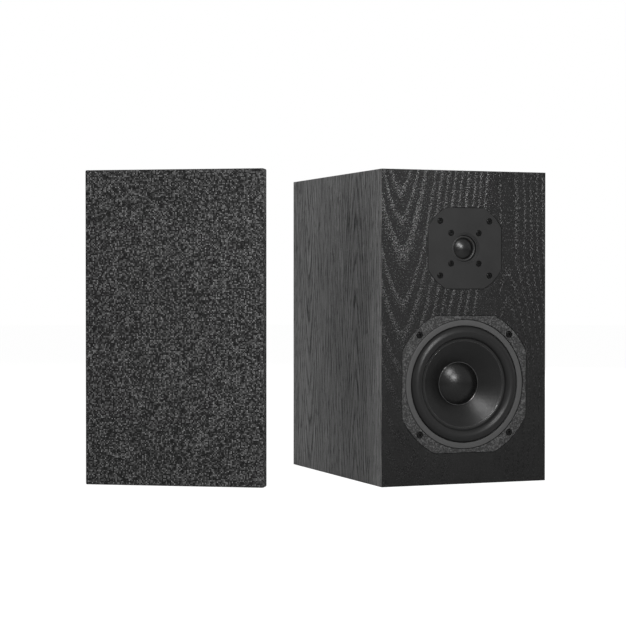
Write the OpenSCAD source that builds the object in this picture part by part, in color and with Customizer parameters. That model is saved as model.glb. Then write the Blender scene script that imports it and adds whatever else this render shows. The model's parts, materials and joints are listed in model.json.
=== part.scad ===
// Two-way bookshelf speaker with a rear port and a lift-off cloth grille.
// X runs across the front, Y runs from the front face to the rear face, Z is up.
// The origin is the centre of the cabinet's bottom face.

/* [Cabinet] */
// Width of the cabinet
cab_w = 220; // [216:1:320]
// Height of the cabinet
cab_h = 380; // [376:1:520]
// Depth of the cabinet, front face to rear face
cab_d = 300; // [280:1:420]
// Thickness of the side, top, bottom and back panels
wall_t = 18; // [14:1:18]
// Thickness of the front baffle
baffle_t = 22; // [20:1:23]
// Thickness of the window brace between the drivers
brace_t = 12; // [8:1:16]
// Width of the window brace's rails
brace_rail = 30; // [24:1:34]
// Thickness of the damping felt
felt_t = 10; // [4:1:12]

/* [Woofer] */
// Height of the woofer's axis above the bottom face
woofer_rise = 121; // [112:1:122]
// Diameter of the woofer flange's round edge
woofer_flange_d = 184; // [180:1:190]
// Width of the woofer flange across its flats
woofer_flats = 166; // [162:1:168]
// Thickness of the woofer flange
woofer_flange_t = 4.5; // [4.2:0.1:5.5]
// Outer diameter of the smooth trim ring
trim_d = 156.6; // [154:0.1:158]
// Outer diameter of the rubber surround's visible roll
surround_outer_d = 142; // [140:0.5:143]
// Inner diameter of the rubber surround
surround_inner_d = 105.5; // [102:0.5:108]
// Rise of the surround's half roll
surround_rise = 6; // [4:0.5:7]
// Diameter of the dust cap
dust_cap_d = 52; // [44:1:56]
// Height of the dust cap's dome
dust_cap_h = 9; // [5:0.5:12]
// Outer diameter of the woofer's voice coil former
woofer_coil_d = 33; // [28:0.5:35]
// Diameter of the woofer's ferrite magnet
woofer_magnet_d = 100; // [92:1:110]
// Thickness of the woofer's ferrite magnet
woofer_magnet_t = 16; // [14:1:24]
// Distance between neighbouring woofer screws
woofer_screw_pitch = 120; // [118:0.5:122]
// Travel of the woofer cone each way
woofer_travel = 6; // [2:0.5:6]

/* [Tweeter] */
// Distance from the top face down to the tweeter's axis
tweeter_drop = 94.25; // [80:0.25:96]
// Diameter of the tweeter faceplate's round edge
tweeter_plate_d = 110; // [106:1:114]
// Width of the tweeter faceplate across its flats
tweeter_flats = 98; // [94:1:100]
// Thickness of the tweeter faceplate
tweeter_plate_t = 4; // [3.8:0.1:5]
// Diameter of the tweeter dome
dome_d = 25.4; // [19:0.1:26]
// Height of the tweeter dome
dome_h = 4.2; // [2:0.1:5]
// Diameter of the tweeter magnet
tweeter_magnet_d = 72; // [68:1:74]
// Thickness of the tweeter magnet
tweeter_magnet_t = 14; // [13:1:18]
// Distance between neighbouring outer screws of the tweeter
tweeter_screw_pitch = 66; // [64:0.5:68]
// Distance between neighbouring inner screws of the tweeter
tweeter_inner_pitch = 37; // [36.5:0.5:40]

/* [Port] */
// Bore diameter of the port
port_d = 50; // [40:1:54]
// Length of the port tube
port_l = 125; // [80:1:160]
// Distance from the top face down to the port's axis
port_drop = 90; // [70:1:100]
// Radius of the port's flared mouth
port_flare = 9; // [5:0.5:12]

/* [Terminals] */
// Width of the terminal plate
cup_w = 104; // [96:1:120]
// Height of the terminal plate
cup_h = 76; // [70:1:90]
// Height of the terminal plate's centre above the bottom face
cup_rise = 92; // [88:1:130]
// Depth of the terminal recess below the plate's face
cup_depth = 22.5; // [21:0.5:26]
// Distance between the two binding posts
post_pitch = 19.05; // [18:0.05:24]
// Bore for a banana plug
banana_d = 4.1; // [4:0.05:4.2]
// Diameter of the binding post knobs
knob_d = 13; // [11:0.5:15]
// Travel of each knob as it unscrews
knob_travel = 5; // [2:0.5:6]

/* [Crossover] */
// Length of the crossover board
board_l = 140; // [130:1:150]
// Width of the crossover board
board_w = 90; // [86:1:110]
// Height of the crossover board's standoffs
standoff_h = 8; // [5:1:12]

/* [Grille] */
// Depth of the grille, cloth included
grille_t = 18; // [14:1:24]
// Width of the grille frame's rails
grille_rail = 18; // [14:1:22]
// Leg of the grille frame's corner gussets
gusset = 26; // [22:1:40]
// Distance of each grille magnet from the two nearest edges
magnet_inset = 24; // [24:1:26]
// Diameter of the grille magnets
magnet_d = 10; // [6:0.5:10]
// Sideways distance from the cabinet's axis to the grille's front centre
grille_x = -337; // [-500:1:-300]
// Distance from the cabinet's middle forward to the grille's front centre
grille_y = -48; // [-200:1:0]
// Turn of the grille about its vertical axis
grille_turn = -31.2; // [-60:0.1:0]

/* [Hidden] */
$fn = 96;

// Clearances and small allowances
eps = 0.01;            // overlap of a cutter past the face it opens
fit = 0.1;             // shaft in a hole, piece on its seat
slip = 0.3;            // tube or cup in its cut-out
flush_gap = 0.5;       // dark gap round a driver set in its rebate
seal_t = 1;            // thickness of every foam seal

// Cabinet
front_y = -cab_d / 2;
back_y = cab_d / 2;
wrap_y = front_y + baffle_t;
inner_back_y = back_y - wall_t;
inner_w = cab_w - 2 * wall_t;
woofer_z = woofer_rise;
tweeter_z = cab_h - tweeter_drop;
port_z = cab_h - port_drop;

// Woofer
woofer_cut_r = 76;     // hole in the baffle behind the flange
woofer_rebate = woofer_flange_t + seal_t;
trim_r = trim_d / 2;
trim_in_r = surround_outer_d / 2 + fit;
trim_gap = 0.5;        // dark groove round the trim ring
trim_drop = 0.4;       // trim ring's face below the flange's face
rubber_t = 0.8;
lip_d0 = 2.4;          // depth of the surround's lips
lip_d1 = lip_d0 + rubber_t;
roll_in_r = surround_inner_d / 2 + 2.75;
roll_out_r = surround_outer_d / 2 - 0.4;
bowl_r = 74.5;         // outer radius of the basket's rim
bowl_wall = 3;
bowl_rim_d = 24;       // depth at which the basket's windows begin
land_d = 46;           // depth of the ledge that the spider is glued to
land_out_r = 53;
land_in_r = 44;
motor_d = 60;          // depth of the motor's front face
basket_foot_r = 46;
basket_foot_in_r = 22;
basket_foot_t = 2.5;
window_w = 40;
windows = 6;
cone_t = 0.9;
cone_rim_r = surround_inner_d / 2 + 2.45;
cone_neck_d = 27;
cap_base_d = 19;
cap_t = 0.7;
former_r = woofer_coil_d / 2;
former_t = 0.3;
coil_t = 0.7;
coil_d0 = 56;
coil_d1 = 70;
pole_gap = 0.7;
coil_gap = 0.8;
top_plate_t = 5;
motor_plate_r = 45;
magnet_hole_r = 24;
magnet_d0 = motor_d + top_plate_t;
yoke_d0 = magnet_d0 + woofer_magnet_t;
yoke_t = 5;
former_end_d = yoke_d0 - woofer_travel - 3;
pole_vent_r = 6;
spider_out_r = 49.5;
spider_t = 0.5;
spider_waves = 5;
spider_wave_h = 1;
woofer_head_r = 3.5;
woofer_shank_r = 2;
woofer_sink_r = 4.2;
woofer_sink_d = 2.4;
woofer_screw_end = baffle_t - 1.5;

// Tweeter
tweeter_cut_r = 38;
tweeter_rebate = tweeter_plate_t + seal_t;
throat_r = 16;
step_r = [19, 17.4];
step_d = [0.8, 1.8];
boss_in_r = 23.2;
boss_out_r = 34;
boss_t = 2;
tweeter_motor_d = tweeter_plate_t + boss_t;
diaphragm_d = tweeter_plate_t + 0.85;
dome_t = 0.25;
dome_r = dome_d / 2;
ring_out_r = 23;
ring_step_r = 17.6;
ring_in_r = 15.9;
ring_step = 1;
tweeter_coil_t = 0.5;
tweeter_coil_l = 5.3;
tweeter_top_t = 4;
tweeter_back_t = 4;
tweeter_back_r = 34;
tweeter_magnet_in_r = 16;
tweeter_magnet_d0 = tweeter_motor_d + tweeter_top_t;
tweeter_yoke_d0 = tweeter_magnet_d0 + tweeter_magnet_t;
tweeter_chamber_d0 = tweeter_yoke_d0 + tweeter_back_t;
tweeter_pole_r = dome_r - tweeter_coil_t / 2 - 0.45;
tweeter_gap_r = dome_r + tweeter_coil_t / 2 + 0.65;
tweeter_vent_r = 4;
chamber_r = 28;
chamber_l = 16;
chamber_wall = 2;
chamber_end_d = tweeter_chamber_d0 + chamber_l;
tweeter_head_r = 3.2;
tweeter_sink_r = 3.75;
tweeter_sink_d = 2.3;
tweeter_shank_r = 1.7;
plate_shank_r = 1.9;
tweeter_screw_end = baffle_t - 2;

// Port
port_r = port_d / 2;
port_wall = 2.5;
port_flange_r = port_r + port_flare + 6;
port_flange_t = port_wall;

// Terminal cup: depths run into the cabinet from its rear face
cup_plate_t = 2.5;
cup_wall = 3;
cup_corner = 6;
cup_border = 8;        // width of the plate round the cup's outside
cup_out_w = cup_w - 2 * cup_border;
cup_out_h = cup_h - 2 * cup_border;
cup_face_d = -seal_t - cup_plate_t;
cup_floor_d = cup_face_d + cup_depth;
cup_back_d = cup_floor_d + cup_wall;
cup_screw_in = 4;      // distance of each screw from the plate's edges
wood_head_r = 2.9;
wood_head_t = 1.8;
wood_shank_r = 1.5;
wood_shank_l = 14;

// Binding posts: depths as for the terminal cup
bushing_r = 7;
bushing_t = 3;
bushing_neck_r = 4.5;
inner_washer_t = 2;
collar_r = 5.5;
collar_t = 3;
post_r = 3;
knob_grip = 11;        // thread left in the knob when it is fully unscrewed
post_l = knob_travel + knob_grip;
stud_r = 2;
collar_d1 = cup_floor_d - bushing_t;
collar_d0 = collar_d1 - collar_t;
post_end_d = collar_d0 - post_l;
banana_l = 17;
wire_hole_r = 1.4;
wire_hole_back = 2.4;  // wire hole's centre in front of the collar
washer_t = 0.9;
knob_bore_r = post_r + fit;
knob_end_t = 1.5;
knob_mouth_r = banana_d / 2 + 0.25;
knob_d1 = collar_d0 - washer_t;
knob_d0 = post_end_d - knob_end_t / 2 - 0.25;
nut_af = 7;
nut_t = 3.2;
lug_t = 0.8;
nut_d0 = cup_back_d + inner_washer_t;
lug_d0 = nut_d0 + nut_t;
nut2_d0 = lug_d0 + lug_t;
stud_end_d = nut2_d0 + nut_t + 2;
lug_tail = 14;

// Crossover board
board_t = 1.6;
board_y = 30;
board_z = wall_t + standoff_h;
board_top = board_z + board_t;
board_hole_in = 6;
board_hole_r = 1.6;
tab_w = 5;
tab_t = 0.8;
tab_h = 8;
input_tab = [[-15, 94], [15, 94]];
woofer_tab = [[-10, -34], [10, -34]];
tweeter_tab = [[36, -22], [40, -10]];

// Driver terminal strips: distances from each driver's axis and depths
strip_t = 2;
woofer_strip_r = 53;
woofer_strip_w = 26;
woofer_strip_d = [49, 65];
woofer_tag_x = 8;
woofer_tag_d = 60;
woofer_tag_end = 62;
tweeter_strip_w = 20;
tweeter_strip_l = 12;
tweeter_tag_x = 5;
tweeter_tag_end = 44;
tag_w = 4.8;
tag_t = 0.8;

// Wire routes, from the driver or lug to the board
wire_r = 1.2;
tinsel_r = 0.7;
tinsel_route = [[7, 21, 24], [9, 32, 31], [11, 45, 36], [12, 56, 41], [12, 62, 50], [9, 60, 58.5]];
wire_end_z = board_top + 5.4;
input_route = [
    [9.5, back_y - 29.3, cup_rise - 10], [9.5, back_y - 29.4, cup_rise - 16],
    [11, back_y - 37, cup_rise - 32], [13, 102, 48], [15, 96, 40], [15, 95.8, wire_end_z]
];
woofer_route = [
    [8, front_y + 62.2, woofer_z - 56], [8, front_y + 62.5, woofer_z - 63],
    [8, front_y + 68, woofer_z - 73], [9, -72, 41],
    [10, -58, 38], [10, -44, 38], [10, -35.8, wire_end_z]
];
tweeter_route = [
    [5, front_y + 34.6, tweeter_z - 38.75], [6, front_y + 35, tweeter_z - 44.75],
    [16, front_y + 42, tweeter_z - 49.75], [28, front_y + 56, tweeter_z - 53.75],
    [36, -84, 220], [38, -74, 206], [38, -54, 176], [38, -44, 140],
    [38, -36, 100], [38, -30, 66], [38, -24, 46], [36, -23.6, wire_end_z]
];
near_points = 2;       // points of the tweeter's route that lie beside its tags
near_pair_gap = [-10, 0, 0];
far_pair_gap = [4, 12, 0];

// Grille
cloth_t = 0.8;
hem_w = 12;
frame_y0 = cloth_t;
frame_t = grille_t - 2 * cloth_t;
grille_magnet_t = 3;
baffle_magnet_t = 5;
magnet_skin = 2.5;     // wood left in front of each baffle magnet

// ---- Shared shapes ----

// Local Z runs into the cabinet from its front face, local Y points down.
module from_front(z) {
    translate([0, front_y, z]) rotate([-90, 0, 0]) children();
}

// Local Z runs into the cabinet from its rear face, local Y points up.
module from_back(x, z) {
    translate([x, back_y, z]) rotate([90, 0, 0]) children();
}

// Local X runs across the grille, local Y from its cloth face to its back.
module on_grille() {
    translate([grille_x, grille_y, 0]) rotate([0, 0, grille_turn]) children();
}

// Four copies at the corners of a square
module square_pattern(pitch) {
    for (x = [-1, 1], y = [-1, 1]) translate([x * pitch / 2, y * pitch / 2, 0]) children();
}

// Four copies at the grille magnets, on a plane with Y up
module magnet_pattern() {
    for (x = [-1, 1], z = [magnet_inset, cab_h - magnet_inset])
        translate([x * (cab_w / 2 - magnet_inset), 0, z]) children();
}

// Plain ring between two radii and two depths
module ring(r_in, r_out, d0, d1) {
    translate([0, 0, d0]) difference() {
        cylinder(r = r_out, h = d1 - d0);
        translate([0, 0, -eps]) cylinder(r = r_in, h = d1 - d0 + 2 * eps);
    }
}

// Rod between two depths
module rod(r, d0, d1) {
    translate([0, 0, d0]) cylinder(r = r, h = d1 - d0);
}

// Circle cut to four flats
module cut_circle(d, flats) {
    intersection() {
        circle(d = d);
        square(flats, center = true);
    }
}

// Rectangle with round corners
module round_rect(w, h, r) {
    square([w - 2 * r, h], center = true);
    square([w, h - 2 * r], center = true);
    for (x = [-1, 1], y = [-1, 1]) translate([x * (w / 2 - r), y * (h / 2 - r)]) circle(r = r);
}

// Outline of a thin dome: base radius, height and thickness, base at depth zero
module dome_profile(r, h, t) {
    big_r = (r * r + h * h) / (2 * h);
    intersection() {
        translate([0, big_r - h]) difference() {
            circle(r = big_r);
            circle(r = big_r - t);
        }
        translate([0, -h - 1]) square([r + 1, h + 1]);
    }
}

// Outline of a thin half roll between two radii, with its edges at depth zero
module roll_profile(r_in, r_out, rise, t) {
    half = (r_out - r_in) / 2;
    arc_r = (half * half + rise * rise) / (2 * rise);
    intersection() {
        translate([(r_in + r_out) / 2, arc_r - rise]) difference() {
            circle(r = arc_r + t / 2);
            circle(r = arc_r - t / 2);
        }
        translate([r_in - t, -rise - t]) square([r_out - r_in + 2 * t, rise + 1.5 * t]);
    }
}

// Screw with a domed head and a hex socket: the head's seat is at depth zero
module screw(head_r, head_t, shank_r, shank_l, tip) {
    difference() {
        union() {
            rod(head_r, -head_t, 0);
            rod(shank_r, 0, shank_l - tip);
            translate([0, 0, shank_l - tip]) cylinder(r1 = shank_r, r2 = 0.3, h = tip);
        }
        translate([0, 0, -head_t - eps]) cylinder(r = head_r * 0.5, h = head_t * 0.7, $fn = 6);
    }
}

// Tube swept along a route of points
function unit(v) = v / norm(v);
function mirrored(route) = [for (p = route) [-p[0], p[1], p[2]]];
function heading(path, i) =
    unit(path[min(i + 1, len(path) - 1)] - path[max(i - 1, 0)]);
module tube(path, r, sides = 8) {
    rings = [for (i = [0:len(path) - 1])
        let (t = heading(path, i), u = unit(cross(t, [1, 0, 0])), v = cross(t, u))
        for (s = [0:sides - 1])
            path[i] + r * (cos(360 * s / sides) * u + sin(360 * s / sides) * v)];
    last = (len(path) - 1) * sides;
    walls = [for (i = [0:len(path) - 2], s = [0:sides - 1])
        let (a = i * sides + s, b = i * sides + (s + 1) % sides)
        for (f = [[a, b, b + sides], [a, b + sides, a + sides]]) f];
    caps = [[for (s = [sides - 1:-1:0]) s], [for (s = [0:sides - 1]) last + s]];
    polyhedron(points = rings, faces = concat(walls, caps), convexity = 4);
}

// ---- Cabinet ----

// Mitred panel of a given outer width: its outer face is at height zero and faces up
module mitred_panel(outer) {
    translate([0, wrap_y, 0]) rotate([-90, 0, 0]) linear_extrude(back_y - wrap_y)
        polygon([
            [-outer / 2, 0], [outer / 2, 0],
            [outer / 2 - wall_t, wall_t], [-outer / 2 + wall_t, wall_t]
        ]);
}

module top_panel() {
    color("#242424") translate([0, 0, cab_h]) mitred_panel(cab_w);
}

module bottom_panel() {
    hole_x = board_w / 2 - board_hole_in;
    hole_y = board_l / 2 - board_hole_in;
    color("#242424") difference() {
        mirror([0, 0, 1]) mitred_panel(cab_w);
        for (x = [-1, 1], y = [-1, 1])
            translate([x * hole_x, board_y + y * hole_y, wall_t - 12])
                cylinder(r = wood_shank_r + fit, h = 12 + eps);
    }
}

module left_side_panel() {
    color("#2b2b2b") translate([-cab_w / 2, 0, cab_h / 2]) rotate([0, -90, 0]) mitred_panel(cab_h);
}

module right_side_panel() {
    color("#2b2b2b") translate([cab_w / 2, 0, cab_h / 2]) rotate([0, 90, 0]) mitred_panel(cab_h);
}

module back_panel() {
    screw_x = cup_w / 2 - cup_screw_in;
    screw_z = cup_h / 2 - cup_screw_in;
    color("#262626") difference() {
        translate([-inner_w / 2, inner_back_y, wall_t]) cube([inner_w, wall_t, cab_h - 2 * wall_t]);
        from_back(0, port_z) {
            rod(port_flange_r + slip, -eps, port_flange_t);
            rod(port_r + port_flare + fit, -eps, port_flare + fit);
            rod(port_r + port_wall + slip, -eps, wall_t + eps);
        }
        from_back(0, cup_rise) {
            translate([0, 0, -eps]) linear_extrude(wall_t + 2 * eps)
                round_rect(cup_out_w + 2 * slip, cup_out_h + 2 * slip, cup_corner + slip);
            for (x = [-1, 1], y = [-1, 1]) translate([x * screw_x, y * screw_z, 0])
                rod(wood_shank_r + fit, -eps, wood_shank_l);
        }
    }
}

module front_baffle() {
    color("#1f1f1f") difference() {
        translate([-cab_w / 2, front_y, 0]) cube([cab_w, baffle_t, cab_h]);
        from_front(woofer_z) {
            translate([0, 0, -eps]) linear_extrude(woofer_rebate + eps)
                cut_circle(woofer_flange_d + 2 * flush_gap, woofer_flats + 2 * flush_gap);
            rod(woofer_cut_r, -eps, baffle_t + eps);
            square_pattern(woofer_screw_pitch) rod(woofer_shank_r + fit, 0, woofer_screw_end + fit);
        }
        from_front(tweeter_z) {
            translate([0, 0, -eps]) linear_extrude(tweeter_rebate + eps)
                cut_circle(tweeter_plate_d + 2 * flush_gap, tweeter_flats + 2 * flush_gap);
            rod(tweeter_cut_r, -eps, baffle_t + eps);
            square_pattern(tweeter_screw_pitch) rod(tweeter_shank_r + fit, 0, tweeter_screw_end + fit);
        }
        magnet_pattern() translate([0, front_y, 0]) rotate([-90, 0, 0])
            rod(magnet_d / 2 + fit, magnet_skin, baffle_t + eps);
    }
}

module baffle_magnets() {
    color("#9a9a9a") magnet_pattern() translate([0, front_y, 0]) rotate([-90, 0, 0])
        rod(magnet_d / 2, magnet_skin, magnet_skin + baffle_magnet_t);
}

// The brace sits half way between the two driver holes
brace_z = (woofer_z + woofer_cut_r + tweeter_z - tweeter_cut_r - brace_t) / 2;

module window_brace() {
    length = inner_back_y - wrap_y;
    window = [(inner_w - 3 * brace_rail) / 2, length - 2 * brace_rail, brace_t + 2 * eps];
    color("#b08a5a") difference() {
        translate([-inner_w / 2, wrap_y, brace_z]) cube([inner_w, length, brace_t]);
        for (x = [-1, 1])
            translate([x * (window[0] + brace_rail) / 2, (wrap_y + inner_back_y) / 2, brace_z + brace_t / 2])
                cube(window, center = true);
    }
}

// The chambers below and above the brace, as [bottom, top]
chambers = [[wall_t, brace_z], [brace_z + brace_t, cab_h - wall_t]];

module side_damping() {
    color("#8f8f88") for (side = [-1, 1], c = chambers)
        translate([side * (inner_w / 2 - fit - felt_t / 2), (wrap_y + inner_back_y) / 2, (c[0] + c[1]) / 2])
            cube([felt_t, inner_back_y - wrap_y - 2 * fit, c[1] - c[0] - 2 * fit], center = true);
}

module back_damping() {
    width = inner_w - 2 * felt_t - 4 * fit;
    color("#8f8f88") difference() {
        for (c = chambers)
            translate([-width / 2, inner_back_y - felt_t - fit, c[0] + fit])
                cube([width, felt_t, c[1] - c[0] - 2 * fit]);
        from_back(0, port_z) rod(port_r + port_wall + 1, 0, wall_t + 2 * felt_t);
        from_back(0, cup_rise) linear_extrude(wall_t + 2 * felt_t)
            square([cup_out_w + 4, cup_out_h + 4], center = true);
    }
}

module port_tube() {
    bend_r = port_r + port_flare;
    color("#181818") from_back(0, port_z) rotate_extrude() {
        translate([port_r, port_flare]) square([port_wall, port_l - port_flare]);
        intersection() {
            translate([bend_r, port_flare]) difference() {
                circle(r = port_flare);
                circle(r = port_flare - port_wall);
            }
            translate([port_r, 0]) square(port_flare);
        }
        translate([bend_r, 0]) square([port_flange_r - bend_r, port_flange_t]);
    }
}

// ---- Woofer ----

module woofer_basket() {
    strip_boss = [16, woofer_strip_r - basket_foot_r + 4, 8];
    color("#202020") from_front(woofer_z) difference() {
        union() {
            difference() {
                linear_extrude(woofer_flange_t) cut_circle(woofer_flange_d, woofer_flats);
                rod(trim_r + trim_gap, -eps, woofer_flange_t + eps);
            }
            rotate_extrude() polygon([
                [surround_outer_d / 2 - 0.8, lip_d1], [trim_r + trim_gap + 1, lip_d1],
                [trim_r + trim_gap + 1, woofer_flange_t], [bowl_r, woofer_flange_t],
                [bowl_r, 16], [land_out_r, land_d + 2], [basket_foot_r, motor_d],
                [basket_foot_in_r, motor_d], [basket_foot_in_r, motor_d - basket_foot_t],
                [basket_foot_r - 3.5, motor_d - basket_foot_t], [land_out_r - 5, land_d + 2.5],
                [land_in_r, land_d + 2.5], [land_in_r, land_d], [land_out_r - 2.8, land_d],
                [bowl_r - bowl_wall, 15], [surround_outer_d / 2 - 0.8, 8]
            ]);
            translate([-strip_boss[0] / 2, woofer_strip_r - strip_boss[1], land_d + 4]) cube(strip_boss);
        }
        for (i = [0:windows - 1]) rotate(i * 360 / windows)
            translate([30, -window_w / 2, bowl_rim_d]) cube([60, window_w, land_d - 2 - bowl_rim_d]);
        square_pattern(woofer_screw_pitch) {
            rod(woofer_shank_r + fit, -eps, woofer_flange_t + eps);
            rod(woofer_sink_r, -eps, woofer_sink_d);
        }
    }
}

module woofer_trim_ring() {
    color("#3a3a3a") from_front(woofer_z) ring(trim_in_r, trim_r, trim_drop, lip_d0);
}

module woofer_surround() {
    color("#1c1c1c") from_front(woofer_z) rotate_extrude() {
        translate([0, (lip_d0 + lip_d1) / 2])
            roll_profile(roll_in_r, roll_out_r, surround_rise, rubber_t);
        translate([roll_out_r - 0.3, lip_d0]) square([trim_r - 1 - roll_out_r + 0.3, rubber_t]);
        translate([surround_inner_d / 2, lip_d0]) square([roll_in_r + 0.3 - surround_inner_d / 2, rubber_t]);
    }
}

module woofer_cone() {
    bend_r = surround_inner_d / 2 - 0.55;
    mid_r = (bend_r + dust_cap_d / 2) / 2;
    mid_d = (lip_d1 + cap_base_d) / 2 - 0.7;
    neck_r = former_r + fit / 2;
    color("#141414") from_front(woofer_z) rotate_extrude() polygon([
        [cone_rim_r, lip_d1], [bend_r, lip_d1], [mid_r, mid_d], [dust_cap_d / 2, cap_base_d],
        [neck_r, cone_neck_d], [neck_r, cone_neck_d + 1.6 * cone_t],
        [dust_cap_d / 2, cap_base_d + 1.2 * cone_t], [mid_r, mid_d + 1.1 * cone_t],
        [bend_r - 0.5, lip_d1 + cone_t], [cone_rim_r, lip_d1 + cone_t]
    ]);
}

module woofer_dust_cap() {
    color("#0e0e0e") from_front(woofer_z) translate([0, 0, cap_base_d - fit])
        rotate_extrude() dome_profile(dust_cap_d / 2, dust_cap_h, cap_t);
}

module woofer_coil_former() {
    color("#c9a35a") from_front(woofer_z) ring(former_r - former_t, former_r, cone_neck_d - 1, former_end_d);
}

module woofer_voice_coil() {
    color("#b4652d") from_front(woofer_z) ring(former_r, former_r + coil_t, coil_d0, coil_d1);
}

module woofer_spider() {
    wave_in = former_r + 2;
    wave_out = land_in_r - 1;
    steps = 2 * spider_waves;
    zig = [for (i = [0:steps]) [
        wave_in + (wave_out - wave_in) * i / steps,
        land_d - spider_t - spider_wave_h * (i % 2)
    ]];
    zag = [for (i = [steps:-1:0]) [zig[i][0], zig[i][1] + spider_t]];
    color("#c8b078") from_front(woofer_z) rotate_extrude() {
        polygon(concat(zig, zag));
        translate([wave_out - 0.4, land_d - spider_t]) square([spider_out_r - wave_out + 0.4, spider_t]);
        translate([former_r + fit / 2, land_d - spider_t]) square([wave_in - former_r + 0.3, spider_t]);
    }
}

module woofer_top_plate() {
    color("#8d8f92") from_front(woofer_z)
        ring(former_r + coil_t + coil_gap, motor_plate_r, motor_d, magnet_d0);
}

module woofer_magnet() {
    color("#3b3b3d") from_front(woofer_z) ring(magnet_hole_r, woofer_magnet_d / 2, magnet_d0, yoke_d0);
}

module woofer_back_plate() {
    color("#8d8f92") from_front(woofer_z) difference() {
        union() {
            rod(motor_plate_r, yoke_d0, yoke_d0 + yoke_t);
            rod(former_r - former_t - pole_gap, motor_d, yoke_d0 + eps);
        }
        rod(pole_vent_r, motor_d - eps, yoke_d0 + yoke_t + eps);
    }
}

module woofer_tinsel_leads() {
    color("#c07a3c") from_front(woofer_z) {
        tube(tinsel_route, tinsel_r);
        tube(mirrored(tinsel_route), tinsel_r);
    }
}

module woofer_screws() {
    head_t = woofer_sink_d - 0.3;
    color("#0c0c0c") from_front(woofer_z) square_pattern(woofer_screw_pitch)
        translate([0, 0, woofer_sink_d])
            screw(woofer_head_r, head_t, woofer_shank_r, woofer_screw_end - woofer_sink_d, 3);
}

module woofer_seal() {
    color("#2f2f2f") from_front(woofer_z) translate([0, 0, woofer_flange_t]) difference() {
        linear_extrude(seal_t) cut_circle(woofer_flange_d - 2, woofer_flats - 2);
        rod(woofer_cut_r + 1, -eps, seal_t + eps);
        square_pattern(woofer_screw_pitch) rod(woofer_shank_r + 2 * fit, -eps, seal_t + eps);
    }
}

// ---- Tweeter ----

module tweeter_faceplate() {
    color("#303030") from_front(tweeter_z) difference() {
        union() {
            linear_extrude(tweeter_plate_t) cut_circle(tweeter_plate_d, tweeter_flats);
            rod(boss_out_r, tweeter_plate_t - eps, tweeter_motor_d);
        }
        rod(boss_in_r, tweeter_plate_t, tweeter_motor_d + eps);
        rod(throat_r, -eps, tweeter_motor_d);
        for (i = [0, 1]) rod(step_r[i], -eps, step_d[i]);
        square_pattern(tweeter_screw_pitch) {
            rod(tweeter_shank_r + fit, -eps, tweeter_plate_t + eps);
            rod(tweeter_sink_r, -eps, tweeter_sink_d);
        }
        square_pattern(tweeter_inner_pitch) {
            rod(plate_shank_r + fit, -eps, tweeter_motor_d + eps);
            rod(tweeter_sink_r, -eps, tweeter_sink_d);
        }
    }
}

module tweeter_diaphragm_ring() {
    color("#d8d3c4") from_front(tweeter_z) difference() {
        ring(ring_in_r, ring_out_r, tweeter_plate_t, tweeter_motor_d);
        rod(ring_step_r, tweeter_plate_t - eps, tweeter_plate_t + ring_step);
    }
}

module tweeter_surround() {
    lip_t = 2 * dome_t;
    seat = tweeter_plate_t + ring_step;
    color("#111111") from_front(tweeter_z) rotate_extrude() {
        translate([0, diaphragm_d]) roll_profile(dome_r + 0.3, ring_in_r + 0.1, 1.2, dome_t);
        translate([ring_in_r, seat - 0.3]) square([ring_step_r - ring_in_r - fit, 0.3]);
        translate([dome_r + fit / 2, diaphragm_d - dome_t / 2]) square([lip_t, dome_t]);
    }
}

module tweeter_dome() {
    color("#0d0d0d") from_front(tweeter_z) translate([0, 0, diaphragm_d])
        rotate_extrude() dome_profile(dome_r, dome_h, dome_t);
}

module tweeter_voice_coil() {
    color("#b4652d") from_front(tweeter_z)
        ring(dome_r - tweeter_coil_t, dome_r, diaphragm_d, diaphragm_d + tweeter_coil_l);
}

module tweeter_top_plate() {
    color("#8d8f92") from_front(tweeter_z) difference() {
        ring(tweeter_gap_r, tweeter_magnet_d / 2, tweeter_motor_d, tweeter_magnet_d0);
        square_pattern(tweeter_inner_pitch)
            rod(plate_shank_r + fit, tweeter_motor_d - eps, tweeter_magnet_d0 + eps);
    }
}

module tweeter_magnet() {
    color("#3b3b3d") from_front(tweeter_z)
        ring(tweeter_magnet_in_r, tweeter_magnet_d / 2, tweeter_magnet_d0, tweeter_yoke_d0);
}

module tweeter_back_plate() {
    color("#8d8f92") from_front(tweeter_z) difference() {
        union() {
            rod(tweeter_back_r, tweeter_yoke_d0, tweeter_chamber_d0);
            rod(tweeter_pole_r - 0.25, tweeter_motor_d + 0.2, tweeter_yoke_d0 + eps);
        }
        rod(tweeter_vent_r, tweeter_motor_d, tweeter_chamber_d0 + eps);
    }
}

module tweeter_rear_chamber() {
    color("#161616") from_front(tweeter_z) difference() {
        rod(chamber_r, tweeter_chamber_d0, chamber_end_d);
        rod(chamber_r - chamber_wall, tweeter_chamber_d0 - eps, chamber_end_d - chamber_wall);
    }
}

module tweeter_mounting_screws() {
    head_t = tweeter_sink_d - 0.3;
    color("#0c0c0c") from_front(tweeter_z) square_pattern(tweeter_screw_pitch)
        translate([0, 0, tweeter_sink_d])
            screw(tweeter_head_r, head_t, tweeter_shank_r, tweeter_screw_end - tweeter_sink_d, 3);
}

module tweeter_plate_screws() {
    head_t = tweeter_sink_d - 0.3;
    color("#0c0c0c") from_front(tweeter_z) square_pattern(tweeter_inner_pitch)
        translate([0, 0, tweeter_sink_d])
            screw(tweeter_head_r, head_t, plate_shank_r, tweeter_magnet_d0 - 0.5 - tweeter_sink_d, 0.5);
}

module tweeter_seal() {
    color("#2f2f2f") from_front(tweeter_z) translate([0, 0, tweeter_plate_t]) difference() {
        linear_extrude(seal_t) cut_circle(tweeter_plate_d - 2, tweeter_flats - 2);
        rod(tweeter_cut_r + 1, -eps, seal_t + eps);
        square_pattern(tweeter_screw_pitch) rod(tweeter_shank_r + 2 * fit, -eps, seal_t + eps);
    }
}

// ---- Wiring and crossover ----

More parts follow.
